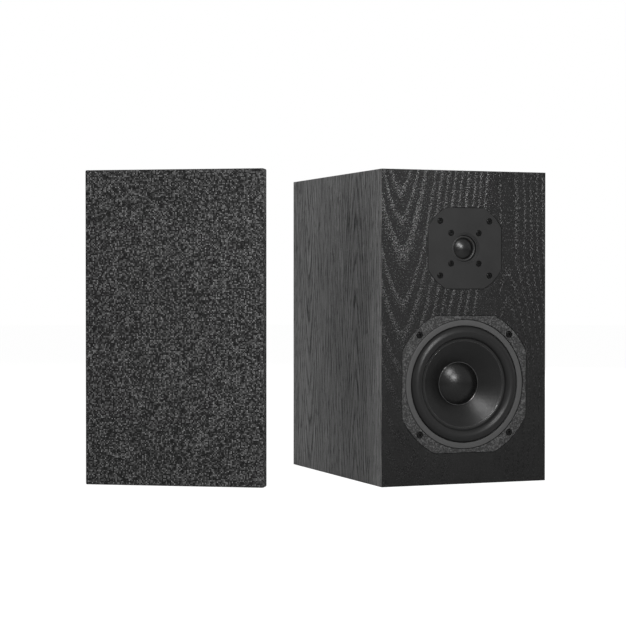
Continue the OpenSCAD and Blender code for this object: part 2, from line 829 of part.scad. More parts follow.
// Phenolic strip with two tags: it hangs below a driver's axis
module terminal_strip(r, w, d0, d1, tag_x, tag_d, tag_end) {
    translate([-w / 2, r, d0]) cube([w, strip_t, d1 - d0]);
    for (x = [-1, 1])
        translate([x * tag_x - tag_w / 2, r + strip_t - eps, tag_d])
            cube([tag_w, tag_end - r - strip_t, tag_t]);
}

module driver_terminal_strips() {
    tweeter_strip_d = tweeter_yoke_d0 + 0.5;
    color("#7a4a22") {
        from_front(woofer_z) terminal_strip(
            woofer_strip_r, woofer_strip_w, woofer_strip_d[0], woofer_strip_d[1],
            woofer_tag_x, woofer_tag_d, woofer_tag_end);
        from_front(tweeter_z) terminal_strip(
            tweeter_back_r + fit, tweeter_strip_w, tweeter_strip_d, tweeter_strip_d + tweeter_strip_l,
            tweeter_tag_x, tweeter_strip_d + 8, tweeter_tag_end);
    }
}

module board_corners() {
    for (x = [-1, 1], y = [-1, 1])
        translate([x * (board_w / 2 - board_hole_in), board_y + y * (board_l / 2 - board_hole_in), 0])
            children();
}

module crossover_board() {
    color("#1f5a34") difference() {
        translate([-board_w / 2, board_y - board_l / 2, board_z]) cube([board_w, board_l, board_t]);
        board_corners() rod(board_hole_r, board_z - eps, board_top + eps);
    }
    color("#c9ccd0") for (p = concat(input_tab, woofer_tab, tweeter_tab))
        translate([p[0] - tab_w / 2, p[1] - tab_t / 2, board_top]) cube([tab_w, tab_t, tab_h]);
}

module crossover_standoffs() {
    color("#e6e2d6") board_corners() ring(board_hole_r, 4, wall_t, board_z);
}

// One screw for a board corner or a corner of the terminal plate
module small_wood_screw(grip) {
    screw(wood_head_r, wood_head_t, wood_shank_r, grip + wood_shank_l - 5, 3);
}

module small_wood_screws() {
    color("#b8bcc0") {
        board_corners() translate([0, 0, board_top]) mirror([0, 0, 1])
            small_wood_screw(board_t + standoff_h);
        from_back(0, cup_rise) for (x = [-1, 1], y = [-1, 1])
            translate([
                x * (cup_w / 2 - cup_screw_in), y * (cup_h / 2 - cup_screw_in), cup_face_d + wood_head_t
            ]) small_wood_screw(seal_t + cup_plate_t - wood_head_t);
    }
}

module crossover_inductors() {
    color("#b4652d") {
        translate([-18, 62, 0]) ring(9, 22, board_top, board_top + 24);
        translate([20, 6, board_top + 16]) rotate([0, 90, 0]) ring(8, 16, -6, 6);
    }
}

module crossover_capacitors() {
    lying = [[24, 44, 8], [24, 63, 8], [-2, -15, 7]];
    color("#3f6f9e") {
        for (c = lying) translate([c[0], c[1], board_top + c[2] + fit]) rotate([0, 90, 0])
            cylinder(r = c[2], h = 32, center = true);
        translate([-31, -15, board_top]) cylinder(r = 9, h = 28);
    }
}

module crossover_resistors() {
    color("#e4e0d2") for (y = [12, 26])
        translate([-40, y, board_top]) cube([46, 9, 9]);
}

module input_wires() {
    color("#b02020") tube(mirrored(input_route), wire_r);
    color("#202020") tube(input_route, wire_r);
}

module woofer_wires() {
    color("#b02020") tube(mirrored(woofer_route), wire_r);
    color("#202020") tube(woofer_route, wire_r);
}

module tweeter_wires() {
    second = [for (i = [0:len(tweeter_route) - 1])
        tweeter_route[i] + (i < near_points ? near_pair_gap : far_pair_gap)];
    color("#b02020") tube(tweeter_route, wire_r);
    color("#202020") tube(second, wire_r);
}

// ---- Terminals ----

module at_posts() {
    for (x = [-1, 1]) from_back(x * post_pitch / 2, cup_rise) children();
}

module terminal_cup() {
    color("#141414") from_back(0, cup_rise) difference() {
        union() {
            translate([0, 0, cup_face_d]) linear_extrude(cup_plate_t) round_rect(cup_w, cup_h, cup_corner);
            translate([0, 0, cup_face_d]) linear_extrude(cup_back_d - cup_face_d)
                round_rect(cup_out_w, cup_out_h, cup_corner);
        }
        translate([0, 0, cup_face_d - eps]) linear_extrude(cup_depth + eps)
            round_rect(cup_out_w - 2 * cup_wall, cup_out_h - 2 * cup_wall, cup_corner - cup_wall);
        for (x = [-1, 1]) translate([x * post_pitch / 2, 0, 0])
            rod(bushing_neck_r + fit, cup_floor_d - eps, cup_back_d + eps);
        for (x = [-1, 1], y = [-1, 1])
            translate([x * (cup_w / 2 - cup_screw_in), y * (cup_h / 2 - cup_screw_in), 0]) {
                rod(wood_shank_r + fit, cup_face_d - eps, cup_face_d + cup_plate_t + eps);
                rod(wood_head_r + fit, cup_face_d - eps, cup_face_d + wood_head_t);
            }
    }
}

module terminal_cup_seal() {
    color("#2f2f2f") from_back(0, cup_rise) translate([0, 0, -seal_t]) difference() {
        linear_extrude(seal_t) round_rect(cup_w - 1, cup_h - 1, cup_corner);
        translate([0, 0, -eps]) linear_extrude(seal_t + 2 * eps)
            round_rect(cup_out_w + 2 * slip, cup_out_h + 2 * slip, cup_corner + slip);
        for (x = [-1, 1], y = [-1, 1])
            translate([x * (cup_w / 2 - cup_screw_in), y * (cup_h / 2 - cup_screw_in), 0])
                rod(wood_shank_r + 2 * fit, -eps, seal_t + eps);
    }
}

module binding_posts() {
    color("#c8a24a") at_posts() difference() {
        union() {
            rod(post_r, post_end_d, collar_d0 + eps);
            rod(collar_r, collar_d0, collar_d1);
            rod(stud_r, collar_d1 - eps, stud_end_d);
        }
        rod(banana_d / 2, post_end_d - eps, post_end_d + banana_l);
        translate([0, 0, collar_d0 - wire_hole_back]) rotate([90, 0, 0])
            cylinder(r = wire_hole_r, h = 4 * post_r, center = true);
    }
}

module post_bushings() {
    color("#8a1f1f") at_posts() {
        difference() {
            union() {
                rod(bushing_r, collar_d1, cup_floor_d);
                rod(bushing_neck_r, cup_floor_d - eps, cup_back_d);
            }
            rod(stud_r + fit, collar_d1 - eps, cup_back_d + eps);
        }
        ring(stud_r + fit, bushing_r, cup_back_d, nut_d0);
    }
}

module hex_nut(d0) {
    translate([0, 0, d0]) difference() {
        cylinder(r = nut_af / sqrt(3), h = nut_t, $fn = 6);
        translate([0, 0, -eps]) cylinder(r = stud_r + fit / 2, h = nut_t + 2 * eps);
    }
}

module post_nuts() {
    color("#d0b060") at_posts() {
        hex_nut(nut_d0);
        hex_nut(nut2_d0);
    }
}

module solder_lugs() {
    color("#c9ccd0") at_posts() difference() {
        union() {
            rod(4, lug_d0, nut2_d0);
            translate([-2, -lug_tail, lug_d0]) cube([4, lug_tail, lug_t]);
        }
        rod(stud_r + fit, lug_d0 - eps, nut2_d0 + eps);
    }
}

module clamp_washer() {
    ring(knob_bore_r, collar_r, knob_d1, collar_d0);
}

module knob() {
    flutes = 12;
    difference() {
        rod(knob_d / 2, knob_d0, knob_d1);
        rod(knob_bore_r, post_end_d - slip, knob_d1 + eps);
        rod(knob_mouth_r, knob_d0 - eps, post_end_d);
        for (i = [0:flutes - 1]) rotate(i * 360 / flutes) translate([knob_d / 2 + 0.6, 0, 0])
            rod(1.1, knob_d0 - eps, knob_d1 - 2.5);
    }
}

module red_clamp_washer() {
    color("#c8a24a") from_back(-post_pitch / 2, cup_rise) clamp_washer();
}

module black_clamp_washer() {
    color("#c8a24a") from_back(post_pitch / 2, cup_rise) clamp_washer();
}

module red_knob() {
    color("#a81c1c") from_back(-post_pitch / 2, cup_rise) knob();
}

module black_knob() {
    color("#151515") from_back(post_pitch / 2, cup_rise) knob();
}

// ---- Grille ----

// Opening of the grille frame, with its four corner gussets left standing
module frame_opening(inset, leg) {
    w = cab_w / 2 - inset;
    low = inset;
    high = cab_h - inset;
    polygon([
        [-w + leg, low], [w - leg, low], [w, low + leg], [w, high - leg],
        [w - leg, high], [-w + leg, high], [-w, high - leg], [-w, low + leg]
    ]);
}

// Extrusion from the grille's cloth side to its back
module grille_slab(y0, y1) {
    translate([0, y1, 0]) rotate([90, 0, 0]) linear_extrude(y1 - y0) children();
}

module grille_frame() {
    y1 = frame_y0 + frame_t;
    color("#151515") on_grille() difference() {
        translate([-cab_w / 2 + cloth_t, frame_y0, cloth_t])
            cube([cab_w - 2 * cloth_t, frame_t, cab_h - 2 * cloth_t]);
        grille_slab(frame_y0 - eps, y1 + eps) frame_opening(grille_rail, gusset);
        magnet_pattern() translate([0, y1 + eps, 0]) rotate([90, 0, 0])
            cylinder(r = magnet_d / 2 + fit, h = grille_magnet_t + fit + eps);
    }
}

module grille_magnets() {
    color("#9a9a9a") on_grille() magnet_pattern() translate([0, frame_y0 + frame_t, 0])
        rotate([90, 0, 0]) cylinder(r = magnet_d / 2, h = grille_magnet_t);
}

module grille_cloth() {
    color("#333333") on_grille() difference() {
        translate([-cab_w / 2, 0, 0]) cube([cab_w, grille_t, cab_h]);
        translate([-cab_w / 2 + cloth_t, frame_y0, cloth_t])
            cube([cab_w - 2 * cloth_t, frame_t, cab_h - 2 * cloth_t]);
        grille_slab(grille_t / 2, grille_t + eps) frame_opening(hem_w, 2);
    }
}

left_side_panel();
right_side_panel();
top_panel();
bottom_panel();
back_panel();
front_baffle();
window_brace();
side_damping();
back_damping();
port_tube();
woofer_basket();
woofer_trim_ring();
woofer_surround();
woofer_cone();
woofer_dust_cap();
woofer_coil_former();
woofer_voice_coil();
woofer_spider();
woofer_top_plate();
woofer_magnet();
woofer_back_plate();
woofer_tinsel_leads();
woofer_screws();
woofer_seal();
tweeter_faceplate();
tweeter_diaphragm_ring();
tweeter_surround();
tweeter_dome();
tweeter_voice_coil();
tweeter_top_plate();
tweeter_magnet();
tweeter_back_plate();
tweeter_rear_chamber();
tweeter_mounting_screws();
tweeter_plate_screws();
tweeter_seal();
driver_terminal_strips();
crossover_board();
crossover_standoffs();
small_wood_screws();
crossover_inductors();
crossover_capacitors();
crossover_resistors();
input_wires();
woofer_wires();
tweeter_wires();
terminal_cup();
terminal_cup_seal();
binding_posts();
post_bushings();
post_nuts();
solder_lugs();
red_clamp_washer();
red_knob();
black_clamp_washer();
black_knob();
baffle_magnets();
grille_frame();
grille_cloth();
grille_magnets();
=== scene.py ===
import collections
import contextlib
import json
import math

import bpy
from bpy.props import FloatProperty, FloatVectorProperty, PointerProperty
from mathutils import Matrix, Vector

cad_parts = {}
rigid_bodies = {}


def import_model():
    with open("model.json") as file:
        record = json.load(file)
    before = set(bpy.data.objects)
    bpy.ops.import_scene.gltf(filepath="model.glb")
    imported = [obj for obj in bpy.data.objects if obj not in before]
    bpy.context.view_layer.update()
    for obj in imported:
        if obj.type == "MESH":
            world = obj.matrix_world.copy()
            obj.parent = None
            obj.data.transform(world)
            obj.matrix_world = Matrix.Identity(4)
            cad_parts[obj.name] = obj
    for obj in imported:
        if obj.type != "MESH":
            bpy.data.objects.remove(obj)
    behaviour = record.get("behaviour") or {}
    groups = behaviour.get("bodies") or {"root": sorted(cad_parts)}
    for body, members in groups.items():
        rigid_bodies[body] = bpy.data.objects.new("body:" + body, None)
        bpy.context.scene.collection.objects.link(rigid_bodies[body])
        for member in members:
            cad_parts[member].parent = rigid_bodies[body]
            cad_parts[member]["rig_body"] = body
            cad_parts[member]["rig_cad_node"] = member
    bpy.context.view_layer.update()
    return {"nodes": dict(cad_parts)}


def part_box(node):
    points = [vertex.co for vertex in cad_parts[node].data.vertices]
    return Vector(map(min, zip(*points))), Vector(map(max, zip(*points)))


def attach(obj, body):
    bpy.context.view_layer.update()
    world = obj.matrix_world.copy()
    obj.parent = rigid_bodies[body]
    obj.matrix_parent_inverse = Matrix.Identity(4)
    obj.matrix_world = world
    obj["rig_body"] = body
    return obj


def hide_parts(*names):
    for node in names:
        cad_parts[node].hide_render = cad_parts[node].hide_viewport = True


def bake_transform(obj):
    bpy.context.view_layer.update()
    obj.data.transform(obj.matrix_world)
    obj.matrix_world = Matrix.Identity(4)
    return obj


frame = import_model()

bl_info = {
    "name": "Bookshelf speaker",
    "version": (1, 0, 0),
    "blender": (4, 5, 0),
    "location": "View3D > Sidebar > Speaker",
    "description": "Builds a two-way bookshelf speaker and its cloth grille",
    "category": "Object",
}

MM = 0.001
MERGE = 2e-6  # points closer than this are one

# Places, taken from the frame
CABINET_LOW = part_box("left_side_panel")[0].copy()
CABINET_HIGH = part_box("right_side_panel")[1].copy()
FRONT_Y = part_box("front_baffle")[0].y
CABINET_LOW.y = FRONT_Y


def middle(node):
    """The middle of a CAD node's box."""
    low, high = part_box(node)
    return (low + high) / 2


WOOFER = Vector((0, FRONT_Y, middle("woofer_cone").z))
TWEETER = Vector((0, FRONT_Y, middle("tweeter_dome").z))
PORT = Vector((0, CABINET_HIGH.y, middle("port_tube").z))
CUP = Vector((0, CABINET_HIGH.y, middle("terminal_cup").z))
GRILLE = Vector((-0.337, -0.048, 0))
GRILLE_TURN = math.radians(-31.2)
GRILLE_SIZE = Vector((0.220, 0.018, 0.380))
BOARD_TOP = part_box("crossover_resistors")[0].z
INWARD = (0, 1, 0)
OUTWARD = (0, -1, 0)
UP = (0, 0, 1)
ALONG = (1, 0, 0)

# In millimetres: half the width and height of the terminal cup's plate, its corner's radius, and
# how far its screws sit from its edges
CUP_HALF = (52, 38)
CUP_CORNER = 6
CUP_SCREW_IN = 4


# ---- Sizes and colours that a user would change ----


def grey(level):
    """A grey of that strength."""
    return (level, level, level)


def colour(name, description, default):
    """A colour that a user can change."""
    return FloatVectorProperty(
        name=name, description=description, default=default, min=0, max=1, size=3, subtype="COLOR",
    )


def length(name, description, default, low, high):
    """A length that a user can change."""
    return FloatProperty(
        name=name, description=description, default=default, min=low, max=high, unit="LENGTH",
        subtype="DISTANCE",
    )


def power(name, description, default):
    """A lamp's power, which a user can change."""
    return FloatProperty(name=name, description=description, default=default, min=0, unit="POWER")


class CabinetLook(bpy.types.PropertyGroup):
    """Veneer and edges of the cabinet."""

    edge: length("Edge", "Width of the eased outer edges", 0.0008, 0.0001, 0.003)
    # Painted light: the sides and top carry the same black ash veneer as the front and back,
    # painted about ten times lighter, standing in for the light that falls on them.
    side: colour("Side", "Smooth wood of the sides", grey(0.13))
    front: colour("Front", "Smooth wood of the front", grey(0.012))
    board: colour("Board", "Bare fibreboard inside", (0.30, 0.19, 0.10))
    pore: length("Pore", "Width of one pore in the veneer", 0.0009, 0.0002, 0.003)


class DriverLook(bpy.types.PropertyGroup):
    """Woofer and tweeter."""

    weave: length("Weave", "Width of one strand of the woven cone", 0.0016, 0.0005, 0.004)
    cone: colour("Cone", "Woven cone and dust cap", grey(0.002))
    rubber: colour("Rubber", "Surround", grey(0.008))
    flange: colour("Flange", "Textured coat of the woofer's frame", grey(0.03))
    trim: colour("Trim ring", "Soft ring round the surround", grey(0.044))
    plate: colour("Plate", "Tweeter's face plate", grey(0.013))


class GrilleLook(bpy.types.PropertyGroup):
    """Cloth of the grille."""

    thread: length("Thread", "Width of one thread of the cloth", 0.00165, 0.0004, 0.003)
    dark: colour("Dark thread", "Gaps and dark threads", grey(0.006))
    light: colour("Light thread", "Light threads, flecks and slubs", grey(0.19))


class TerminalLook(bpy.types.PropertyGroup):
    """Parts on the back and inside."""

    plastic: colour("Plastic", "Terminal cup and port", grey(0.018))
    red: colour("Red", "Knob and lead of the positive side", (0.36, 0.012, 0.010))
    felt: colour("Felt", "Damping inside the cabinet", (0.30, 0.30, 0.27))
    gold: colour("Posts", "Plated brass", (0.83, 0.60, 0.25))


class StageLook(bpy.types.PropertyGroup):
    """Floor, lamps and camera."""

    floor: colour("Floor", "Pale floor", grey(0.86))
    lens: FloatProperty(
        name="Lens", description="Focal length in millimetres", default=103.2, min=20, max=300,
    )
    key: power("Key lamp", "Power of the main lamp", 21.0)
    top: power("Top lamp", "Power of the lamp above the camera", 4.6)
    side: power("Side lamp", "Power of the lamp on the left", 15.0)
    back: power("Back lamp", "Power of the lamp behind", 32.0)
    ambient: FloatProperty(
        name="Surroundings", description="Even light from all round", default=0.25, min=0, max=2,
    )


# ---- Making and dressing pieces ----


def only(*pieces):
    """Selects these pieces alone, with the first one active."""
    if bpy.context.object and bpy.context.object.mode != "OBJECT":
        bpy.ops.object.mode_set(mode="OBJECT")
    bpy.ops.object.select_all(action="DESELECT")
    for piece in pieces:
        piece.select_set(True)
    if pieces:
        bpy.context.view_layer.objects.active = pieces[0]


@contextlib.contextmanager
def editing(piece, everything=True):
    """Edit mode on one piece, with all of it selected or what was chosen before."""
    only(piece)
    bpy.ops.object.mode_set(mode="EDIT")
    if everything:
        bpy.ops.mesh.select_all(action="SELECT")
    yield
    bpy.ops.object.mode_set(mode="OBJECT")


def pick(mesh, edges):
    """Selects these edges alone, ready for edit mode."""
    bpy.context.tool_settings.mesh_select_mode = (False, True, False)
    for group in (mesh.vertices, mesh.edges, mesh.polygons):
        group.foreach_set("select", [False] * len(group))
    for edge in edges:
        edge.select = True
        for v in edge.vertices:
            mesh.vertices[v].select = True


def call(piece, name):
    """Names a piece and its mesh, with a dash for each space."""
    piece.name = name.replace(" ", "-")
    piece.data.name = piece.name


def started(name):
    """Names the primitive that was just added and brings its origin to the frame's."""
    piece = bpy.context.object
    call(piece, name)
    only(piece)
    bpy.ops.object.transform_apply(location=True, rotation=True, scale=True)
    bpy.context.tool_settings.mesh_select_mode = (True, False, False)
    return piece


def modify(piece, kind, **settings):
    """Adds a modifier, sets it up and applies it."""
    only(piece)
    modifier = piece.modifiers.new(kind.title(), kind)
    for key, value in settings.items():
        setattr(modifier, key, value)
    bpy.ops.object.modifier_apply(modifier=modifier.name)


def smooth(piece, angle=35, flat_faces=False):
    """Smooth shading, with edges sharper than the angle kept crisp.

    flat_faces keeps wide flat faces flat beside narrow rounded edges.
    """
    only(piece)
    bpy.ops.object.shade_smooth_by_angle(angle=math.radians(angle))
    if flat_faces:
        modify(piece, "WEIGHTED_NORMAL", weight=90, keep_sharp=True)


def weld(threshold=MERGE):
    """Merges double points and turns the faces outwards, in edit mode."""
    bpy.ops.mesh.select_all(action="SELECT")
    bpy.ops.mesh.remove_doubles(threshold=threshold)
    bpy.ops.mesh.normals_make_consistent(inside=False)


def drawn(name, path):
    """A chain of edges through points in metres."""
    only()
    bpy.ops.mesh.primitive_plane_add(size=MM, location=path[0])
    piece = started(name)
    with editing(piece):
        bpy.ops.mesh.merge(type="CENTER")
        for a, b in zip(path, path[1:]):
            bpy.ops.mesh.extrude_vertices_move(TRANSFORM_OT_translate={"value": b - a})
    return piece


def turned(name, section, centre, axis=INWARD, steps=96, closed=True, angle=35):
    """A turned piece: its section of (radius, depth) in millimetres is drawn and spun round.

    A closed section goes round a ring; an open one starts and ends on the axis.
    """
    line = Vector(axis)
    across = Vector(UP if axis == ALONG else ALONG)
    points = [Vector(centre) + (across * r + line * d) * MM for r, d in section]
    piece = drawn(name, points + points[:1] if closed else points)
    with editing(piece):
        bpy.ops.mesh.spin(
            steps=steps, angle=math.tau, use_auto_merge=True, center=centre, axis=axis,
        )
        weld()
    smooth(piece, angle)
    return piece


def arc(r, d, radius, start, end, steps):
    """Points of an arc about (r, d), its angles in degrees from the radius towards the depth."""
    found = []
    for i in range(steps + 1):
        a = math.radians(start + (end - start) * i / steps)
        found.append((r + radius * math.cos(a), d + radius * math.sin(a)))
    return found


def copied(node, name):
    """A copy of a CAD node with its triangles merged into whole faces."""
    only(frame["nodes"][node])
    bpy.ops.object.duplicate()
    piece = bpy.context.object
    bpy.ops.object.parent_clear(type="CLEAR_KEEP_TRANSFORM")
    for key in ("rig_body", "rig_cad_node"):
        del piece[key]
    call(piece, name)
    piece.data.materials.clear()
    bpy.ops.mesh.customdata_custom_splitnormals_clear()
    with editing(piece):
        bpy.ops.mesh.remove_doubles(threshold=MERGE)
        bpy.ops.mesh.dissolve_limited(angle_limit=math.radians(0.4))
    return piece


def ease(piece, width, segments=2, test=None):
    """Rounds the sharp edges, or those of them whose middle passes a test."""
    with editing(piece):
        bpy.ops.mesh.select_mode(type="EDGE")
        bpy.ops.mesh.select_all(action="DESELECT")
        bpy.ops.mesh.edges_select_sharp(sharpness=math.radians(30))
    mesh = piece.data
    points = [v.co for v in mesh.vertices]
    edges = [e for e in mesh.edges if e.select]
    if test:
        edges = [e for e in edges if test((points[e.vertices[0]] + points[e.vertices[1]]) / 2)]
    pick(mesh, edges)
    with editing(piece, everything=False):
        bpy.ops.mesh.bevel(offset=width, segments=segments, affect="EDGES", clamp_overlap=True)


def dress(piece, *materials, wears=None):
    """Gives a piece its materials; wears says which of them a face has."""
    piece.data.materials.clear()
    for material in materials:
        piece.data.materials.append(material)
    if wears:
        for face in piece.data.polygons:
            face.material_index = wears(face)


def seat(piece, node, *materials, wears=None, stands_for=True):
    """Dresses a finished piece and seats it on the body of a CAD node, which it stands for."""
    if materials:
        dress(piece, *materials, wears=wears)
    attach(piece, frame["nodes"][node]["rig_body"])
    if stands_for:
        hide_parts(node)


def eased(node, width, *materials, name=None, segments=2, test=None, wears=None):
    """Seats a copy of a CAD node with its sharp edges eased by a width in millimetres."""
    piece = copied(node, name or node.replace("_", " "))
    ease(piece, width * MM, segments, test)
    smooth(piece, 50, flat_faces=True)
    seat(piece, node, *materials, wears=wears)


def bend(piece, node):
    """Bakes a piece's place into its mesh and hides the CAD node it stands for."""
    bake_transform(piece)
    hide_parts(node)


def bend_round(piece, node):
    """Bakes a ring's place into its mesh and hides the CAD node it stands for; the loop over its
    points does nothing.
    """
    bend(piece, node)
    for v in piece.data.vertices:
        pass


def through(points, steps):
    """A smooth line through the points, with this many steps between each pair."""
    ends = [2 * Vector(points[0]) - Vector(points[1]), *map(Vector, points)]
    ends.append(2 * ends[-1] - ends[-2])
    line = []
    for i in range(1, len(ends) - 2):
        a, b, c, d = ends[i - 1:i + 3]
        for k in range(steps):
            t = k / steps
            line.append(
                (b * 2 + (c - a) * t + (a * 2 - b * 5 + c * 4 - d) * t**2
                 + (b * 3 - a - c * 3 + d) * t**3) / 2
            )
    line.append(ends[-2])
    return line


def lead(name, points, radius, steps=6, sides=3):
    """A round lead, wire or rod along a smooth line through points in millimetres."""
    piece = drawn(name, [p * MM for p in through(points, steps)])
    only(piece)
    bpy.ops.object.convert(target="CURVE")
    piece.data.bevel_depth = radius * MM
    piece.data.bevel_resolution = sides
    piece.data.use_fill_caps = True
    bpy.ops.object.convert(target="MESH")
    with editing(piece):
        weld()
    smooth(piece, 50)
    return piece


def joined(name, pieces):
    """Several shapes made one piece."""
    only(*pieces)
    bpy.ops.object.join()
    piece = bpy.context.object
    call(piece, name)
    return piece


# ---- Shading ----


class Term:
    """A socket in a node tree, on which sums can be written."""

    def __init__(self, shade, socket):
        self.shade = shade
        self.socket = socket

    def __add__(self, other):
        return self.shade.math("ADD", self, other)

    def __sub__(self, other):
        return self.shade.math("SUBTRACT", self, other)

    def __rsub__(self, other):
        return self.shade.math("SUBTRACT", other, self)

    def __mul__(self, other):
        return self.shade.math("MULTIPLY", self, other)

    def __truediv__(self, other):
        return self.shade.math("DIVIDE", self, other)

    def __pow__(self, other):
        return self.shade.math("POWER", self, other)

    def __abs__(self):
        return self.shade.math("ABSOLUTE", self)

    __radd__ = __add__
    __rmul__ = __mul__


class Tree:
    """A node tree and the ways to add to it."""

    def __init__(self, tree):
        self.tree = tree
        self.tree.nodes.clear()

    def add(self, kind, settings=None, values=None, output=0):
        """Adds a node: its settings first, then the values or links of its sockets."""
        node = self.tree.nodes.new("ShaderNode" + kind)
        for key, value in (settings or {}).items():
            if key == "stops":
                ramp = node.color_ramp.elements
                while len(ramp) < len(value):
                    ramp.new(0.5)
                for stop, (place, level) in zip(ramp, value):
                    stop.position = place
                    stop.color = (*grey(level), 1)
            else:
                setattr(node, key, value)
        for key, value in (values or {}).items():
            self.join(value, node.inputs[key])
        return Term(self, node.outputs[output])

    def join(self, value, socket):
        """Links a term to a socket, or sets the socket to a plain value."""
        if isinstance(value, Term):
            self.tree.links.new(value.socket, socket)
        elif socket.type == "RGBA":
            socket.default_value = (*tuple(value)[:3], 1)
        else:
            socket.default_value = value

    def math(self, operation, *terms):
        return self.add("Math", {"operation": operation}, dict(enumerate(terms)))

    def split(self, vector):
        """The three parts of a vector."""
        first = self.add("SeparateXYZ", values={0: vector})
        return [Term(self, socket) for socket in first.socket.node.outputs]

    def vector(self, x, y, z):
        return self.add("CombineXYZ", values={0: x, 1: y, 2: z})

    def noise(self, vector, scale=1.0, detail=2.0, roughness=0.5):
        values = {"Vector": vector, "Scale": scale, "Detail": detail, "Roughness": roughness}
        return self.add("TexNoise", {"noise_dimensions": "3D"}, values)

    def cells(self, vector, scale, feature="F1", output="Distance"):
        values = {"Vector": vector, "Scale": scale}
        return self.add("TexVoronoi", {"feature": feature}, values, output)

    def rise(self, value, low, high, start=0.0, end=1.0):
        """Rises smoothly from start to end as the value goes from low to high."""
        values = {0: value, 1: low, 2: high, 3: start, 4: end}
        return self.add("MapRange", {"interpolation_type": "SMOOTHSTEP"}, values)

    def mix(self, factor, a, b):
        return self.add("Mix", {"data_type": "RGBA"}, {0: factor, 6: a, 7: b}, output=2)

    def scaled(self, colour, factor):
        """A colour made lighter or darker by a varying factor."""
        values = {0: colour, "Scale": factor}
        return self.add("VectorMath", {"operation": "SCALE"}, values)


class Finish(Tree):
    """A material with one Principled shader."""

    def __init__(self, name, **fixed):
        self.material = bpy.data.materials.new(name)
        self.material.use_nodes = True
        super().__init__(self.material.node_tree)
        self.shader = self.add("BsdfPrincipled")
        end = self.tree.nodes.new("ShaderNodeOutputMaterial")
        self.tree.links.new(self.shader.socket, end.inputs["Surface"])
        self.place = self.add("TexCoord", output="Object")
        for key, value in fixed.items():
            self.set(key.replace("_", " "), value)

    def set(self, socket, value):
        self.join(value, self.shader.socket.node.inputs[socket])

    def done(self, colour, roughness, height, distance, strength):
        """Sets what varies over the surface, and returns the material."""
        values = {"Strength": strength, "Distance": distance, "Height": height}
        self.set("Base Color", colour)
        self.set("Roughness", roughness)
        self.set("Normal", self.add("Bump", values=values))
        return self.material

    def centred(self, centre, turn=0.0):
        """Object coordinates measured from a centre, turned with it."""
        values = {"Vector": self.place, "Location": centre, "Rotation": (0, 0, turn)}
        return self.add("Mapping", {"vector_type": "TEXTURE"}, values)


Leaf = collections.namedtuple("Leaf", "centre rings start slope top squeeze")


def growth(s, u, w, leaf):
    """How open the grain is, 0 to 1, across the growth rings of one flat-cut leaf of veneer.

    u runs across the grain and w along it. The leaf's pointed arches stand on the line u = centre,
    and slope says how fast they follow one another and which way they point. rings is their
    spacing in millimetres, or a list of their radii where they are uneven, and a leaf with a high
    squeeze has narrow, steep arches. Above top the arches run straight.
    """
    centre, rings, start, slope, top, squeeze = leaf
    off = abs(u - centre) * squeeze
    depth = s.math("MINIMUM", s.math("MAXIMUM", w * slope + start, 0.0001), top)
    radius = (off**1.5 + depth**1.5) ** (1 / 1.5)
    if isinstance(rings, list):
        stops = [(0.0, 0.0)] + [(r * MM / 0.2, (i + 1) / 30) for i, r in enumerate(rings)]
        number = s.add("ValToRGB", {"stops": stops}, {0: radius / 0.2}) * 30
    else:
        number = radius / (rings * MM)
    phase = s.math("FRACT", number)
    return s.rise(phase, 0.0, 0.1) * (1 - s.rise(phase, 0.2, 0.65))


